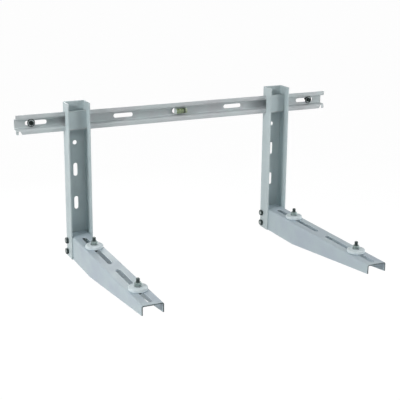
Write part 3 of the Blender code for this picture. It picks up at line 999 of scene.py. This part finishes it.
@dataclass
class Level:
    """The spirit level: a vial between two caps, in a holder clipped into the rail's window."""

    length: float = 28.4 * MM
    centre: float = 1.2 * MM
    radius: float = 6 * MM
    left_cap: float = 6.5 * MM
    right_cap: float = 4.5 * MM
    cap_edge: float = 0.8 * MM
    plug_flange: float = 1.2 * MM
    plug_radius: float = 4.6 * MM
    plug_play: float = 0.05 * MM
    holder_height: float = 14.6 * MM
    clip_length: float = 24 * MM
    floor: float = 1 * MM
    bubble_length: float = 6.4 * MM
    bubble_radius: float = 1.9 * MM
    line_gap: float = 7.2 * MM
    line_width: float = 0.45 * MM
    band_length: float = 4.6 * MM
    band_rise: float = 0.12 * MM
    band_clear: float = 0.02 * MM
    # The tube's broken edge, and the small steps where the plug and the cap meet it
    tube_edge: float = 0.25 * MM
    plug_step: float = 0.1 * MM
    cap_step: float = 0.15 * MM
    # The recess moulded in an outer end: its rim and floor as shares of the radius, and its depth
    plug_dish: tuple[float, float] = (0.55, 0.5)
    plug_recess: float = 0.4 * MM
    cap_dish: tuple[float, float] = (0.62, 0.55)
    cap_recess: float = 0.5 * MM
    cap_steps: int = 4
    holder_ease: float = 0.25 * MM
    bubble_sides: int = 24
    bubble_steps: int = 12
    # The bubble lies against the tube's wall, up and toward the room
    bubble_lift: float = math.radians(40)
    bubble_inset: float = 0.72

    def build(self, rail: Rail, finishes: Finishes) -> None:
        """Builds the level on its rail.

        Args:
            rail: The rail that it clips into.
            finishes: The finishes.
        """
        left = self.centre - self.length / 2
        right = self.centre + self.length / 2
        back = -rail.sheet - SEAT_GAP
        axis_y = back - self.floor - SEAT_GAP - self.radius
        self.build_holder(rail, finishes, left, right, back, axis_y)
        tube_left = left + self.plug_flange
        tube_right = right - self.right_cap - SEAT_GAP
        reach = tube_right - tube_left
        depth = left + self.left_cap - tube_left
        soft = self.tube_edge
        bore = self.plug_radius + self.plug_play
        rings: list[Ring] = [
            (depth, bore),
            (0, bore),
            (0, self.radius - soft),
            (soft, self.radius),
            (reach - soft, self.radius),
            (reach, self.radius - soft),
        ]
        vial = made_piece("level_tube", turned("level_tube", rings), finishes.vial)
        seat(vial, "rail", "level_vial", (tube_left, axis_y, 0), (0, QUARTER, 0))
        rings = [
            (-self.plug_play, self.radius - self.plug_step),
            (-self.plug_flange + self.cap_edge / 2, self.radius),
            (-self.plug_flange, self.radius - self.cap_edge / 2),
            (-self.plug_flange, self.plug_dish[0] * self.radius),
            (-self.plug_flange + self.plug_recess, self.plug_dish[1] * self.radius),
        ]
        stem = [(depth - self.plug_play, self.plug_radius), (-self.plug_play, self.plug_radius)]
        plug = made_piece("level_plug_end", turned("level_plug_end", stem + rings), finishes.holder)
        seat(plug, "rail", "level_left_cap", (tube_left, axis_y, 0), (0, QUARTER, 0))
        right_seat = (right - self.right_cap, axis_y, 0)
        self.build_cap("level_closed_end", finishes.cap, "level_right_cap", right_seat)
        band_left = tube_right - self.band_length
        self.build_band("level_band", self.band_length, finishes.band, (band_left + tube_right) / 2, axis_y)
        self.build_reading(finishes, (tube_left + band_left) / 2, axis_y)

    def build_holder(self, rail: Rail, finishes: Finishes, left: float, right: float, back: float,
                     axis_y: float) -> None:
        """Builds the holder: a block with a trough for the barrel and a clip in the window.

        Args:
            rail: The rail that it clips into.
            finishes: The finishes.
            left: The x of its left end.
            right: The x of its right end.
            back: The y of its back face.
            axis_y: The y of the barrel's axis.
        """
        high = self.holder_height / 2
        block = prisms("level_saddle", [box_outline(axis_y, back, -high, high)], left, right, ALONG_X)
        clip_high = rail.window_height / 2 - SEAT_GAP
        outline = box_outline(back - self.floor / 2, -SEAT_GAP, -clip_high, clip_high)
        clip = prisms("clip", [outline], -self.clip_length / 2, self.clip_length / 2, ALONG_X)
        trough_round = circle_outline((axis_y, 0), self.radius + SEAT_GAP)
        trough = prisms("trough", [trough_round], left - CUT_MARGIN, right + CUT_MARGIN, ALONG_X)
        cutters = [Cutter(clip, Carve.JOIN), Cutter(trough)]
        holder = made_piece("level_saddle", block, finishes.holder, cutters, self.holder_ease)
        seat(holder, "rail", "level_holder")

    def build_cap(self, name: str, finish: Finish, node: str, place: Sequence[float]) -> None:
        """Builds the right cap, with a rounded edge and a shallow recess in its end.

        Args:
            name: The piece's name.
            finish: Its finish.
            node: The solid that it stands for.
            place: The middle of its inner end.
        """
        length = self.right_cap
        rings: list[Ring] = [(0, self.radius - self.cap_step), (self.cap_step, self.radius)]
        for step in range(self.cap_steps + 1):
            angle = QUARTER * step / self.cap_steps
            reach = self.radius - self.cap_edge + self.cap_edge * math.cos(angle)
            rings.append((length - self.cap_edge + self.cap_edge * math.sin(angle), reach))
        rim, floor = self.cap_dish
        rings += [(length, rim * self.radius), (length - self.cap_recess, floor * self.radius)]
        cap = made_piece(name, turned(name, rings), finish)
        seat(cap, "rail", node, place, (0, QUARTER, 0))

    def build_band(self, name: str, length: float, finish: Finish, middle: float, axis_y: float) -> None:
        """Builds a thin band round the tube.

        Args:
            name: The piece's name.
            length: Its length along the tube.
            finish: Its finish.
            middle: The x of its middle.
            axis_y: The y of the tube's axis.
        """
        rings: list[Ring] = [
            (-length / 2, self.radius + self.band_clear),
            (-length / 2, self.radius + self.band_rise),
            (length / 2, self.radius + self.band_rise),
            (length / 2, self.radius + self.band_clear),
        ]
        band = made_piece(name, turned(name, rings, hollow=True), finish)
        seat(band, "rail", None, (middle, axis_y, 0), (0, QUARTER, 0))

    def build_reading(self, finishes: Finishes, middle: float, axis_y: float) -> None:
        """Builds the bubble and the two reading lines.

        Args:
            finishes: The finishes.
            middle: The x of the middle of the tube's clear part.
            axis_y: The y of the tube's axis.
        """
        for label, side in (("left", -1), ("right", 1)):
            line = middle + side * self.line_gap / 2
            self.build_band("level_line_" + label, self.line_width, finishes.ink, line, axis_y)
        rings: list[Ring] = []
        for step in range(1, self.bubble_steps):
            angle = math.pi * step / self.bubble_steps
            rings.append((-self.bubble_length / 2 * math.cos(angle), self.bubble_radius * math.sin(angle)))
        mesh = turned("level_bubble", rings, self.bubble_sides)
        bubble = made_piece("level_bubble", mesh, finishes.bubble)
        lift = self.bubble_lift
        reach = self.radius - self.bubble_inset * self.bubble_radius
        place = (middle, axis_y - reach * math.cos(lift), reach * math.sin(lift))
        seat(bubble, "rail", None, place, (0, QUARTER, 0))


@dataclass
class WallScrews:
    """The hexagon screws and washers in the rail's end slots."""

    from_end: float = 38 * MM
    length: float = 20 * MM
    point: float = 5 * MM
    washer_radius: float = 9 * MM
    washer_sheet: float = 1.6 * MM
    dish_radius: float = 7.2 * MM
    dish_sheet: float = 0.25 * MM
    # The bare length between the head and the thread
    neck: float = 2 * MM

    def build(self, rail: Rail, fasteners: Fasteners, finishes: Finishes) -> None:
        """Builds both screws on their rail.

        Args:
            rail: The rail that they hold.
            fasteners: The thread sizes.
            finishes: The finishes.
        """
        into_wall = (-QUARTER, 0, 0)
        bore = fasteners.m6.radius + BOLT_PLAY
        for label, side in (("left", -1), ("right", 1)):
            x = side * (rail.length / 2 - self.from_end)
            face = -rail.sheet - SEAT_GAP - self.washer_sheet
            name = "rail_washer_" + label
            washer = ring_washer(name, bore, self.washer_radius, self.washer_sheet, finishes.dark_rim_washer)
            seat(washer, "rail", "wall_washer_" + label, (x, face, 0), into_wall)
            name = "rail_washer_dish_" + label
            dish = ring_washer(name, bore, self.dish_radius, self.dish_sheet, finishes.washer)
            seat(dish, "rail", None, (x, face - self.dish_sheet, 0), into_wall)
            name = "rail_screw_" + label
            screw = fasteners.m6.bolt(name, self.length, self.neck, self.point, finishes.screw)
            place = (x, face - SEAT_GAP, 0)
            seat(screw, "rail", "wall_screw_" + label, place, into_wall)


@dataclass
class SideBolts:
    """The bolts that hold an arm between the flanges of its upright."""

    length: float = 16 * MM
    from_wall: float = 12 * MM
    foot: float = 12.5 * MM
    top: float = 15 * MM
    # The bare length between the head and the thread, and the chamfer at the tip
    neck: float = 1 * MM
    chamfer: float = 1 * MM
    count: int = 2

    def heights(self, arm_foot: float, arm_height: float) -> list[float]:
        """The heights of the bolts' axes for an arm with the given foot and height."""
        pitch = (arm_height - self.foot - self.top) / (self.count - 1)
        return [arm_foot + self.foot + pitch * index for index in range(self.count)]

    def holes(self, width: float, heights: Sequence[float], radius: float) -> Mesh:
        """The bolt holes through both side walls of a channel.

        Args:
            width: The channel's outside width.
            heights: The heights of the holes.
            radius: Their radius.

        Returns:
            The cutter's mesh.
        """
        outlines = [circle_outline((-self.from_wall, height), radius) for height in heights]
        half = width / 2 + CUT_MARGIN
        return prisms("side_holes", outlines, -half, half, ALONG_X)


@dataclass
class Upright:
    """A folded channel that hooks behind the rail's brims, with a saddle pressed over the rail."""

    width: float = 52 * MM
    depth: float = 40 * MM
    sheet: float = 2.5 * MM
    bend: float = 1.5 * MM
    height: float = 365 * MM
    rise: float = 42.5 * MM
    notch_play: float = 0.5 * MM
    saddle_height: float = 41 * MM
    saddle_relief: float = 2.5 * MM
    relief_sides: int = 28
    relief_depth: float = 2 * MM
    saddle_bend: float = 1.8 * MM
    round_hole_radius: float = 5 * MM
    round_hole_drop: float = 54 * MM
    web_slot_width: float = 10 * MM
    web_slot_length: float = 31 * MM
    web_slot_drop: float = 118 * MM
    web_slot_pitch: float = 80 * MM
    web_slot_count: int = 2
    eased: float = 0.4 * MM

    @property
    def foot(self) -> float:
        """The height of the upright's lower end."""
        return self.rise - self.height

    def notch(self, rail: Rail) -> Mesh:
        """The rail's own section with some play, which is cut out of the back.

        Args:
            rail: The rail that the upright hooks on.

        Returns:
            The cutter's mesh.
        """
        tip = rail.height / 2 + self.notch_play
        ledge = rail.crown / 2 + self.notch_play
        brim = -rail.depth + rail.sheet + self.notch_play
        relief = rail.brim_bend - self.notch_play
        front = -rail.depth - self.notch_play
        hook = [(front, tip), (brim, tip), (brim, ledge + relief)]
        upper = hook + [(brim + relief, ledge), (CUT_MARGIN, ledge)]
        outline = upper + [(y, -z) for y, z in reversed(upper)]
        half = self.width / 2 + CUT_MARGIN
        return prisms("rail_notch", [outline], -half, half, ALONG_X)

    def saddle(self, rail: Rail) -> Mesh:
        """The strip pressed forward between the flanges, filleted into them.

        Args:
            rail: The rail that it passes in front of.

        Returns:
            The joined mesh.
        """
        back = -rail.depth - self.notch_play
        front = back - self.sheet
        root = self.width / 2 - self.sheet / 2
        wall = self.width / 2 - self.sheet
        bend = self.saddle_bend
        right = [(root, back), (root, front - bend)]
        for step in range(BEND_STEPS + 1):
            angle = QUARTER * step / BEND_STEPS
            right.append((wall - bend + bend * math.cos(angle), front - bend + bend * math.sin(angle)))
        outline = right + [(-x, y) for x, y in reversed(right)]
        top = rail.height / 2
        return prisms("saddle", [outline], top - self.saddle_height, top, PLAN)

    def reliefs(self, rail: Rail) -> Mesh:
        """The round reliefs at the saddle's four corners.

        Args:
            rail: The rail that the saddle passes.

        Returns:
            The cutter's mesh.
        """
        reach = self.width / 2 - self.sheet - self.saddle_relief
        top = rail.height / 2
        front = -rail.depth - self.notch_play - self.sheet - CUT_MARGIN
        outlines = []
        for side in (-1, 1):
            for height in (top, top - self.saddle_height):
                centre = (side * reach, height)
                outlines.append(circle_outline(centre, self.saddle_relief, self.relief_sides))
        return prisms("reliefs", outlines, front, -rail.depth + self.relief_depth, ALONG_Y)

    def web_holes(self) -> Mesh:
        """The round hole and the slots in the web.

        Returns:
            The cutter's mesh.
        """
        outlines = [circle_outline((0, -self.round_hole_drop), self.round_hole_radius)]
        for index in range(self.web_slot_count):
            centre = (0, -self.web_slot_drop - self.web_slot_pitch * index)
            outlines.append(slot_outline(centre, self.web_slot_length, self.web_slot_width, upright=True))
        return prisms("web_holes", outlines, -self.sheet - CUT_MARGIN, CUT_MARGIN, ALONG_Y)

    def build(self, label: str, x: float, rail: Rail, side_holes: Mesh, finishes: Finishes) -> None:
        """Builds an upright.

        Args:
            label: The bracket's side.
            x: The bracket's place along the rail.
            rail: The rail that it hooks on.
            side_holes: The cutter for its bolt holes.
            finishes: The finishes.
        """
        outline = channel_outline(self.width, self.depth, self.sheet, self.bend)
        mesh = prisms("upright", [outline], self.foot, self.rise, PLAN)
        cutters = [
            Cutter(self.notch(rail)),
            Cutter(self.saddle(rail), Carve.JOIN),
            Cutter(self.reliefs(rail)),
            Cutter(self.web_holes()),
            Cutter(side_holes),
        ]
        piece = made_piece(label + "_upright_sheet", mesh, finishes.sheet, cutters, self.eased)
        seat(piece, label + "_bracket", label + "_upright", (x, 0, 0))


@dataclass
class Arm:
    """A channel open below, which tapers to its tip and has two long slots in its top."""

    sheet: float = 2.5 * MM
    bend: float = 1.5 * MM
    reach: float = 465 * MM
    height: float = 53.5 * MM
    straight: float = 158 * MM
    tip_height: float = 20 * MM
    slot_width: float = 11 * MM
    slot_bridge: float = 36 * MM
    slot_tip_inset: float = 12.5 * MM
    slot_wall_inset: float = 48.5 * MM
    eased: float = 0.4 * MM

    @property
    def slot_length(self) -> float:
        """The length of each slot."""
        return (self.reach - self.slot_tip_inset - self.slot_wall_inset - self.slot_bridge) / 2

    @property
    def slot_centres(self) -> tuple[float, float]:
        """How far from the wall the middles of the two slots lie."""
        back = self.slot_wall_inset + self.slot_length / 2
        return back, back + self.slot_length + self.slot_bridge

    def width_in(self, upright: Upright) -> float:
        """The outside width of an arm that fits between the flanges of its upright."""
        return upright.width - 2 * (upright.sheet + SEAT_GAP)

    def top(self, upright: Upright) -> float:
        """The height of the arm's top face."""
        return upright.foot + self.height

    def taper(self, upright: Upright) -> Mesh:
        """What is cut off below the arm so that its sides taper.

        Args:
            upright: The upright that it is bolted into.

        Returns:
            The cutter's mesh.
        """
        fall = (self.height - self.tip_height) / (self.reach - self.straight)
        tip = self.top(upright) - self.tip_height + fall * CUT_MARGIN
        below = upright.foot - CUT_MARGIN
        knee = -self.straight + CUT_MARGIN
        end = -self.reach - CUT_MARGIN
        outline = [(end, below), (knee, below), (knee, upright.foot - fall * CUT_MARGIN), (end, tip)]
        half = self.width_in(upright) / 2 + CUT_MARGIN
        return prisms("arm_taper", [outline], -half, half, ALONG_X)

    def build(self, label: str, x: float, upright: Upright, side_holes: Mesh, finishes: Finishes) -> None:
        """Builds an arm.

        Args:
            label: The bracket's side.
            x: The bracket's place along the rail.
            upright: The upright that it is bolted into.
            side_holes: The cutter for its bolt holes.
            finishes: The finishes.
        """
        top = self.top(upright)
        outline = channel_outline(self.width_in(upright), self.height, self.sheet, self.bend)
        raised = [(u, top + v) for u, v in outline]
        arm_back = upright.sheet + upright.bend + SEAT_GAP
        mesh = prisms("arm", [raised], -self.reach, -arm_back, ALONG_Y)
        slots = []
        for centre in self.slot_centres:
            slots.append(slot_outline((0, -centre), self.slot_length, self.slot_width, upright=True))
        slot_cutter = prisms("arm_slots", slots, top - self.sheet - CUT_MARGIN, top + CUT_MARGIN, PLAN)
        cutters = [Cutter(self.taper(upright)), Cutter(slot_cutter), Cutter(side_holes)]
        piece = made_piece(label + "_arm_sheet", mesh, finishes.arm_sheet, cutters, self.eased)
        seat(piece, label + "_bracket", label + "_arm", (x, 0, 0))


@dataclass
class Feet:
    """The two feet of an arm: a pad, a washer and a nut on a bolt through a slot."""

    pad_radius: float = 20 * MM
    pad_height: float = 7.5 * MM
    pad_round: float = 2.2 * MM
    parting_line: float = 0.25 * MM
    bore_ease: float = 0.5 * MM
    pad_sides: int = 64
    round_steps: int = 8
    washer_radius: float = 8.5 * MM
    washer_sheet: float = 1.6 * MM
    bolt_length: float = 28 * MM
    # The bare length between the head and the thread, and the chamfer at the tip
    bolt_neck: float = 2 * MM
    bolt_chamfer: float = 1 * MM
    back_shift: float = -15.5 * MM
    front_shift: float = 27.5 * MM

    def pad(self, name: str, bore: float, finish: Finish) -> Object:
        """A moulded pad with round edges, a parting line and an eased bore.

        Args:
            name: The piece's name.
            bore: The radius of its bore.
            finish: Its finish.

        Returns:
            The piece.
        """
        rings: list[Ring] = []
        inner = self.pad_radius - self.pad_round - self.parting_line
        middle = self.pad_height / 2
        for centre, first in ((self.pad_round, -QUARTER), (self.pad_height - self.pad_round, 0.0)):
            for step in range(self.round_steps + 1):
                angle = first + QUARTER * step / self.round_steps
                height = centre + self.pad_round * math.sin(angle)
                rings.append((height, inner + self.pad_round * math.cos(angle)))
            if first:
                side = self.pad_radius - self.parting_line
                rings.append((middle - self.parting_line, side))
                rings.append((middle, self.pad_radius))
                rings.append((middle + self.parting_line, side))
        ease = self.bore_ease
        rings += [(self.pad_height, bore + ease), (self.pad_height - ease, bore)]
        rings += [(ease, bore), (0, bore + ease)]
        return made_piece(name, turned(name, rings, self.pad_sides, hollow=True), finish)

    def build(self, label: str, x: float, arm: Arm, top: float, size: Thread, finishes: Finishes) -> None:
        """Builds both feet of an arm.

        Args:
            label: The bracket's side.
            x: The bracket's place along the rail.
            arm: The arm that they stand on.
            top: The height of the arm's top face.
            size: The thread of their bolts.
            finishes: The finishes.
        """
        body = label + "_bracket"
        bore = size.radius + BOLT_PLAY
        pad_seat = top + SEAT_GAP
        washer_seat = pad_seat + self.pad_height + SEAT_GAP
        nut_seat = washer_seat + self.washer_sheet + SEAT_GAP
        head_seat = top - arm.sheet - SEAT_GAP
        back, front = arm.slot_centres
        for place, from_wall in (("back", back + self.back_shift), ("front", front + self.front_shift)):
            stem = f"{label}_{place}_"
            node = f"{label}_{place}_foot_"
            pad = self.pad(stem + "rubber", bore, finishes.pad)
            seat(pad, body, node + "pad", (x, -from_wall, pad_seat))
            washer = ring_washer(stem + "ring", bore, self.washer_radius, self.washer_sheet, finishes.washer)
            seat(washer, body, node + "washer", (x, -from_wall, washer_seat))
            nut = size.nut(stem + "hex_nut", finishes.nut)
            seat(nut, body, node + "nut", (x, -from_wall, nut_seat))
            name = stem + "stud"
            bolt = size.bolt(name, self.bolt_length, self.bolt_neck, self.bolt_chamfer, finishes.bolt)
            seat(bolt, body, node + "bolt", (x, -from_wall, head_seat))


@dataclass
class Bracket:
    """One upright with its arm, side bolts and feet."""

    label: str
    x: float
    upright: Upright = field(default_factory=Upright)
    arm: Arm = field(default_factory=Arm)
    side_bolts: SideBolts = field(default_factory=SideBolts)
    feet: Feet = field(default_factory=Feet)

    def build(self, rail: Rail, fasteners: Fasteners, finishes: Finishes) -> None:
        """Builds the bracket on its rail.

        Args:
            rail: The rail that it hooks on.
            fasteners: The thread sizes.
            finishes: The finishes.
        """
        size = fasteners.m8
        hole = size.radius + BOLT_PLAY
        heights = self.side_bolts.heights(self.upright.foot, self.arm.height)
        upright_holes = self.side_bolts.holes(self.upright.width, heights, hole)
        self.upright.build(self.label, self.x, rail, upright_holes, finishes)
        arm_width = self.arm.width_in(self.upright)
        arm_holes = self.side_bolts.holes(arm_width, heights, hole)
        self.arm.build(self.label, self.x, self.upright, arm_holes, finishes)
        self.build_side_bolts(size, heights, arm_width, finishes)
        self.feet.build(self.label, self.x, self.arm, self.arm.top(self.upright), size, finishes)

    def build_side_bolts(self, size: Thread, heights: Sequence[float], arm_width: float,
                         finishes: Finishes) -> None:
        """Builds the bolts through the flanges and their nuts inside the arm.

        Args:
            size: The bolts' thread.
            heights: The heights of their axes.
            arm_width: The outside width of the arm.
            finishes: The finishes.
        """
        body = self.label + "_bracket"
        bolts = self.side_bolts
        y = -bolts.from_wall
        for side_label, side in (("left", -1), ("right", 1)):
            inward = (0, -side * QUARTER, 0)
            bolt_x = self.x + side * (self.upright.width / 2 + SEAT_GAP)
            nut_x = self.x + side * (arm_width / 2 - self.arm.sheet - SEAT_GAP)
            for index, height in enumerate(heights, start=1):
                tail = f"{side_label}_{index}"
                name = f"{self.label}_clamp_bolt_{tail}"
                bolt = size.bolt(name, bolts.length, bolts.neck, bolts.chamfer, finishes.bolt)
                node = f"{self.label}_side_bolt_{tail}"
                seat(bolt, body, node, (bolt_x, y, height), inward)
                name = f"{self.label}_clamp_nut_{tail}"
                nut = size.nut(name, finishes.nut)
                node = f"{self.label}_side_nut_{tail}"
                seat(nut, body, node, (nut_x, y, height), inward)


@dataclass(frozen=True)
class Lamp:
    """A soft box by its direction from the bracket in degrees, its side in metres and its power in watts."""

    azimuth: float
    elevation: float
    size: float
    power: float


def heading(azimuth: float, elevation: float) -> Vector:
    """The unit vector toward a direction seen from the bracket.

    Args:
        azimuth: The angle round from the room's side, in radians.
        elevation: The angle up, in radians.

    Returns:
        The vector.
    """
    flat = math.cos(elevation)
    return Vector((math.sin(azimuth) * flat, -math.cos(azimuth) * flat, math.sin(elevation)))


@dataclass
class Studio:
    """The pale floor, the soft lights and the camera."""

    floor_height: float = -1.0
    floor_size: float = 40.0
    floor_thickness: float = 0.02
    floor_roughness: float = 0.9
    floor_paint: str = "#E6E8E8"
    floor_glow: float = 0.93
    floor_white: float = 1.05
    azimuth: float = -25.642
    elevation: float = 14.494
    roll: float = 0.514
    distance: float = 2.0837
    target: tuple[float, float, float] = (0.0094, -0.1, -0.1008)
    sensor: float = 36.0
    lens: float = 80.34
    shift_y: float = -0.1
    clip: tuple[float, float] = (0.05, 60)
    sky: float = 0.03
    lamp_distance: float = 2.8
    lamps: dict[str, Lamp] = field(default_factory=lambda: {
        "key_box": Lamp(-72, 25, 0.5, 31.0),
        "left_box": Lamp(-86, -3, 1.2, 14.0),
        "right_box": Lamp(46, 18, 1.2, 18.0),
        "low_right_box": Lamp(51, 5, 0.5, 9.0),
        "far_right_box": Lamp(95, 0, 1.2, 28.0),
        "front_box": Lamp(0, 50, 1.2, 10.0),
        "top_left_box": Lamp(-90, 60, 0.8, 10.0),
        "top_box": Lamp(0, 88, 1.2, 5.0),
        "back_box": Lamp(180, 14, 1.6, 26.0),
    })

    def build_camera(self) -> None:
        """Builds the camera at the photograph's place."""
        azimuth, elevation, roll = (math.radians(v) for v in (self.azimuth, self.elevation, self.roll))
        toward = heading(azimuth, elevation)
        level_right = Vector((math.cos(azimuth), math.sin(azimuth), 0))
        level_up = toward.cross(level_right)
        right = math.cos(roll) * level_right + math.sin(roll) * level_up
        up = math.cos(roll) * level_up - math.sin(roll) * level_right
        data = bpy.data.cameras.new("camera")
        data.sensor_width = self.sensor
        data.lens = self.lens
        data.shift_y = self.shift_y
        data.clip_start, data.clip_end = self.clip
        camera = loose("camera", data)
        matrix = Matrix((right, up, toward)).transposed().to_4x4()
        matrix.translation = Vector(self.target) + toward * self.distance
        camera.matrix_world = matrix
        bpy.context.scene.camera = camera

    def white_share(self, tree: NodeTree) -> NodeSocket:
        """A factor of 1 for the rays of the camera, of mirrors and of glass, which see plain white.

        Args:
            tree: The node tree that it joins.

        Returns:
            The factor.
        """
        rays = add_node(tree, "ShaderNodeLightPath")
        seen = rays.outputs["Is Camera Ray"]
        for name in ("Is Glossy Ray", "Is Transmission Ray"):
            links = {0: seen, 1: rays.outputs[name]}
            seen = add_node(tree, "ShaderNodeMath", links, operation="MAXIMUM").outputs[0]
        return seen

    def build_floor(self) -> None:
        """Builds the floor, which the camera sees as white with the soft shadow that falls on it."""
        half = self.floor_size / 2
        mesh = prisms("floor", [box_outline(-half, half, -half, half)], -self.floor_thickness, 0.0, PLAN)
        floor = loose("floor", mesh)
        floor.location = (0, 0, self.floor_height)
        material, tree, shader = blank_material("matt_white_board")
        shader.inputs["Base Color"].default_value = linear(self.floor_paint)
        shader.inputs["Roughness"].default_value = self.floor_roughness
        links = {"Color": (1, 1, 1, 1), "Strength": self.floor_white}
        white = add_node(tree, "ShaderNodeEmission", links)
        links = {0: self.white_share(tree), 1: self.floor_glow}
        share = add_node(tree, "ShaderNodeMath", links, operation="MULTIPLY").outputs[0]
        mix = add_node(tree, "ShaderNodeMixShader", {0: share, 1: shader.outputs[0], 2: white.outputs[0]})
        output = next(node for node in tree.nodes if node.type == "OUTPUT_MATERIAL")
        tree.links.new(mix.outputs[0], output.inputs["Surface"])
        mesh.materials.append(material)

    def build_sky(self) -> None:
        """Builds the sky: soft light for the object and plain white for the camera."""
        world = bpy.data.worlds.new("studio")
        bpy.context.scene.world = world
        world.use_nodes = True
        tree = world.node_tree
        tree.nodes.clear()
        soft = add_node(tree, "ShaderNodeBackground", {"Color": (1, 1, 1, 1), "Strength": self.sky})
        white = add_node(tree, "ShaderNodeBackground", {"Color": (1, 1, 1, 1), "Strength": 1.0})
        links = {0: self.white_share(tree), 1: soft.outputs[0], 2: white.outputs[0]}
        mix = add_node(tree, "ShaderNodeMixShader", links)
        add_node(tree, "ShaderNodeOutputWorld", {"Surface": mix.outputs[0]})

    def build_lamp(self, name: str, lamp: Lamp) -> None:
        """Builds a soft box that faces the bracket.

        Args:
            name: The lamp's name.
            lamp: Its direction, size and power.
        """
        data = bpy.data.lights.new(name, "AREA")
        data.shape = "SQUARE"
        data.size = lamp.size
        data.energy = lamp.power
        piece = loose(name, data)
        piece.visible_camera = False
        toward = heading(math.radians(lamp.azimuth), math.radians(lamp.elevation))
        piece.location = Vector(self.target) + toward * self.lamp_distance
        piece.rotation_euler = (-toward).to_track_quat("-Z", "Y").to_euler()

    def build(self) -> None:
        """Builds the whole studio."""
        self.build_camera()
        self.build_floor()
        self.build_sky()
        for name, lamp in self.lamps.items():
            self.build_lamp(name, lamp)


def main() -> None:
    """Builds the wall bracket around its frame."""
    logging.basicConfig(level=logging.INFO, format="%(name)s: %(message)s")
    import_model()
    scene = bpy.context.scene
    scene.view_settings.view_transform = "Standard"
    Studio().build()
    finishes = Finishes()
    fasteners = Fasteners()
    rail = Rail()
    rail.build(finishes)
    Level().build(rail, finishes)
    WallScrews().build(rail, fasteners, finishes)
    for label, x in BRACKET_PLACES.items():
        Bracket(label, x).build(rail, fasteners, finishes)


if __name__ == "__main__":
    main()
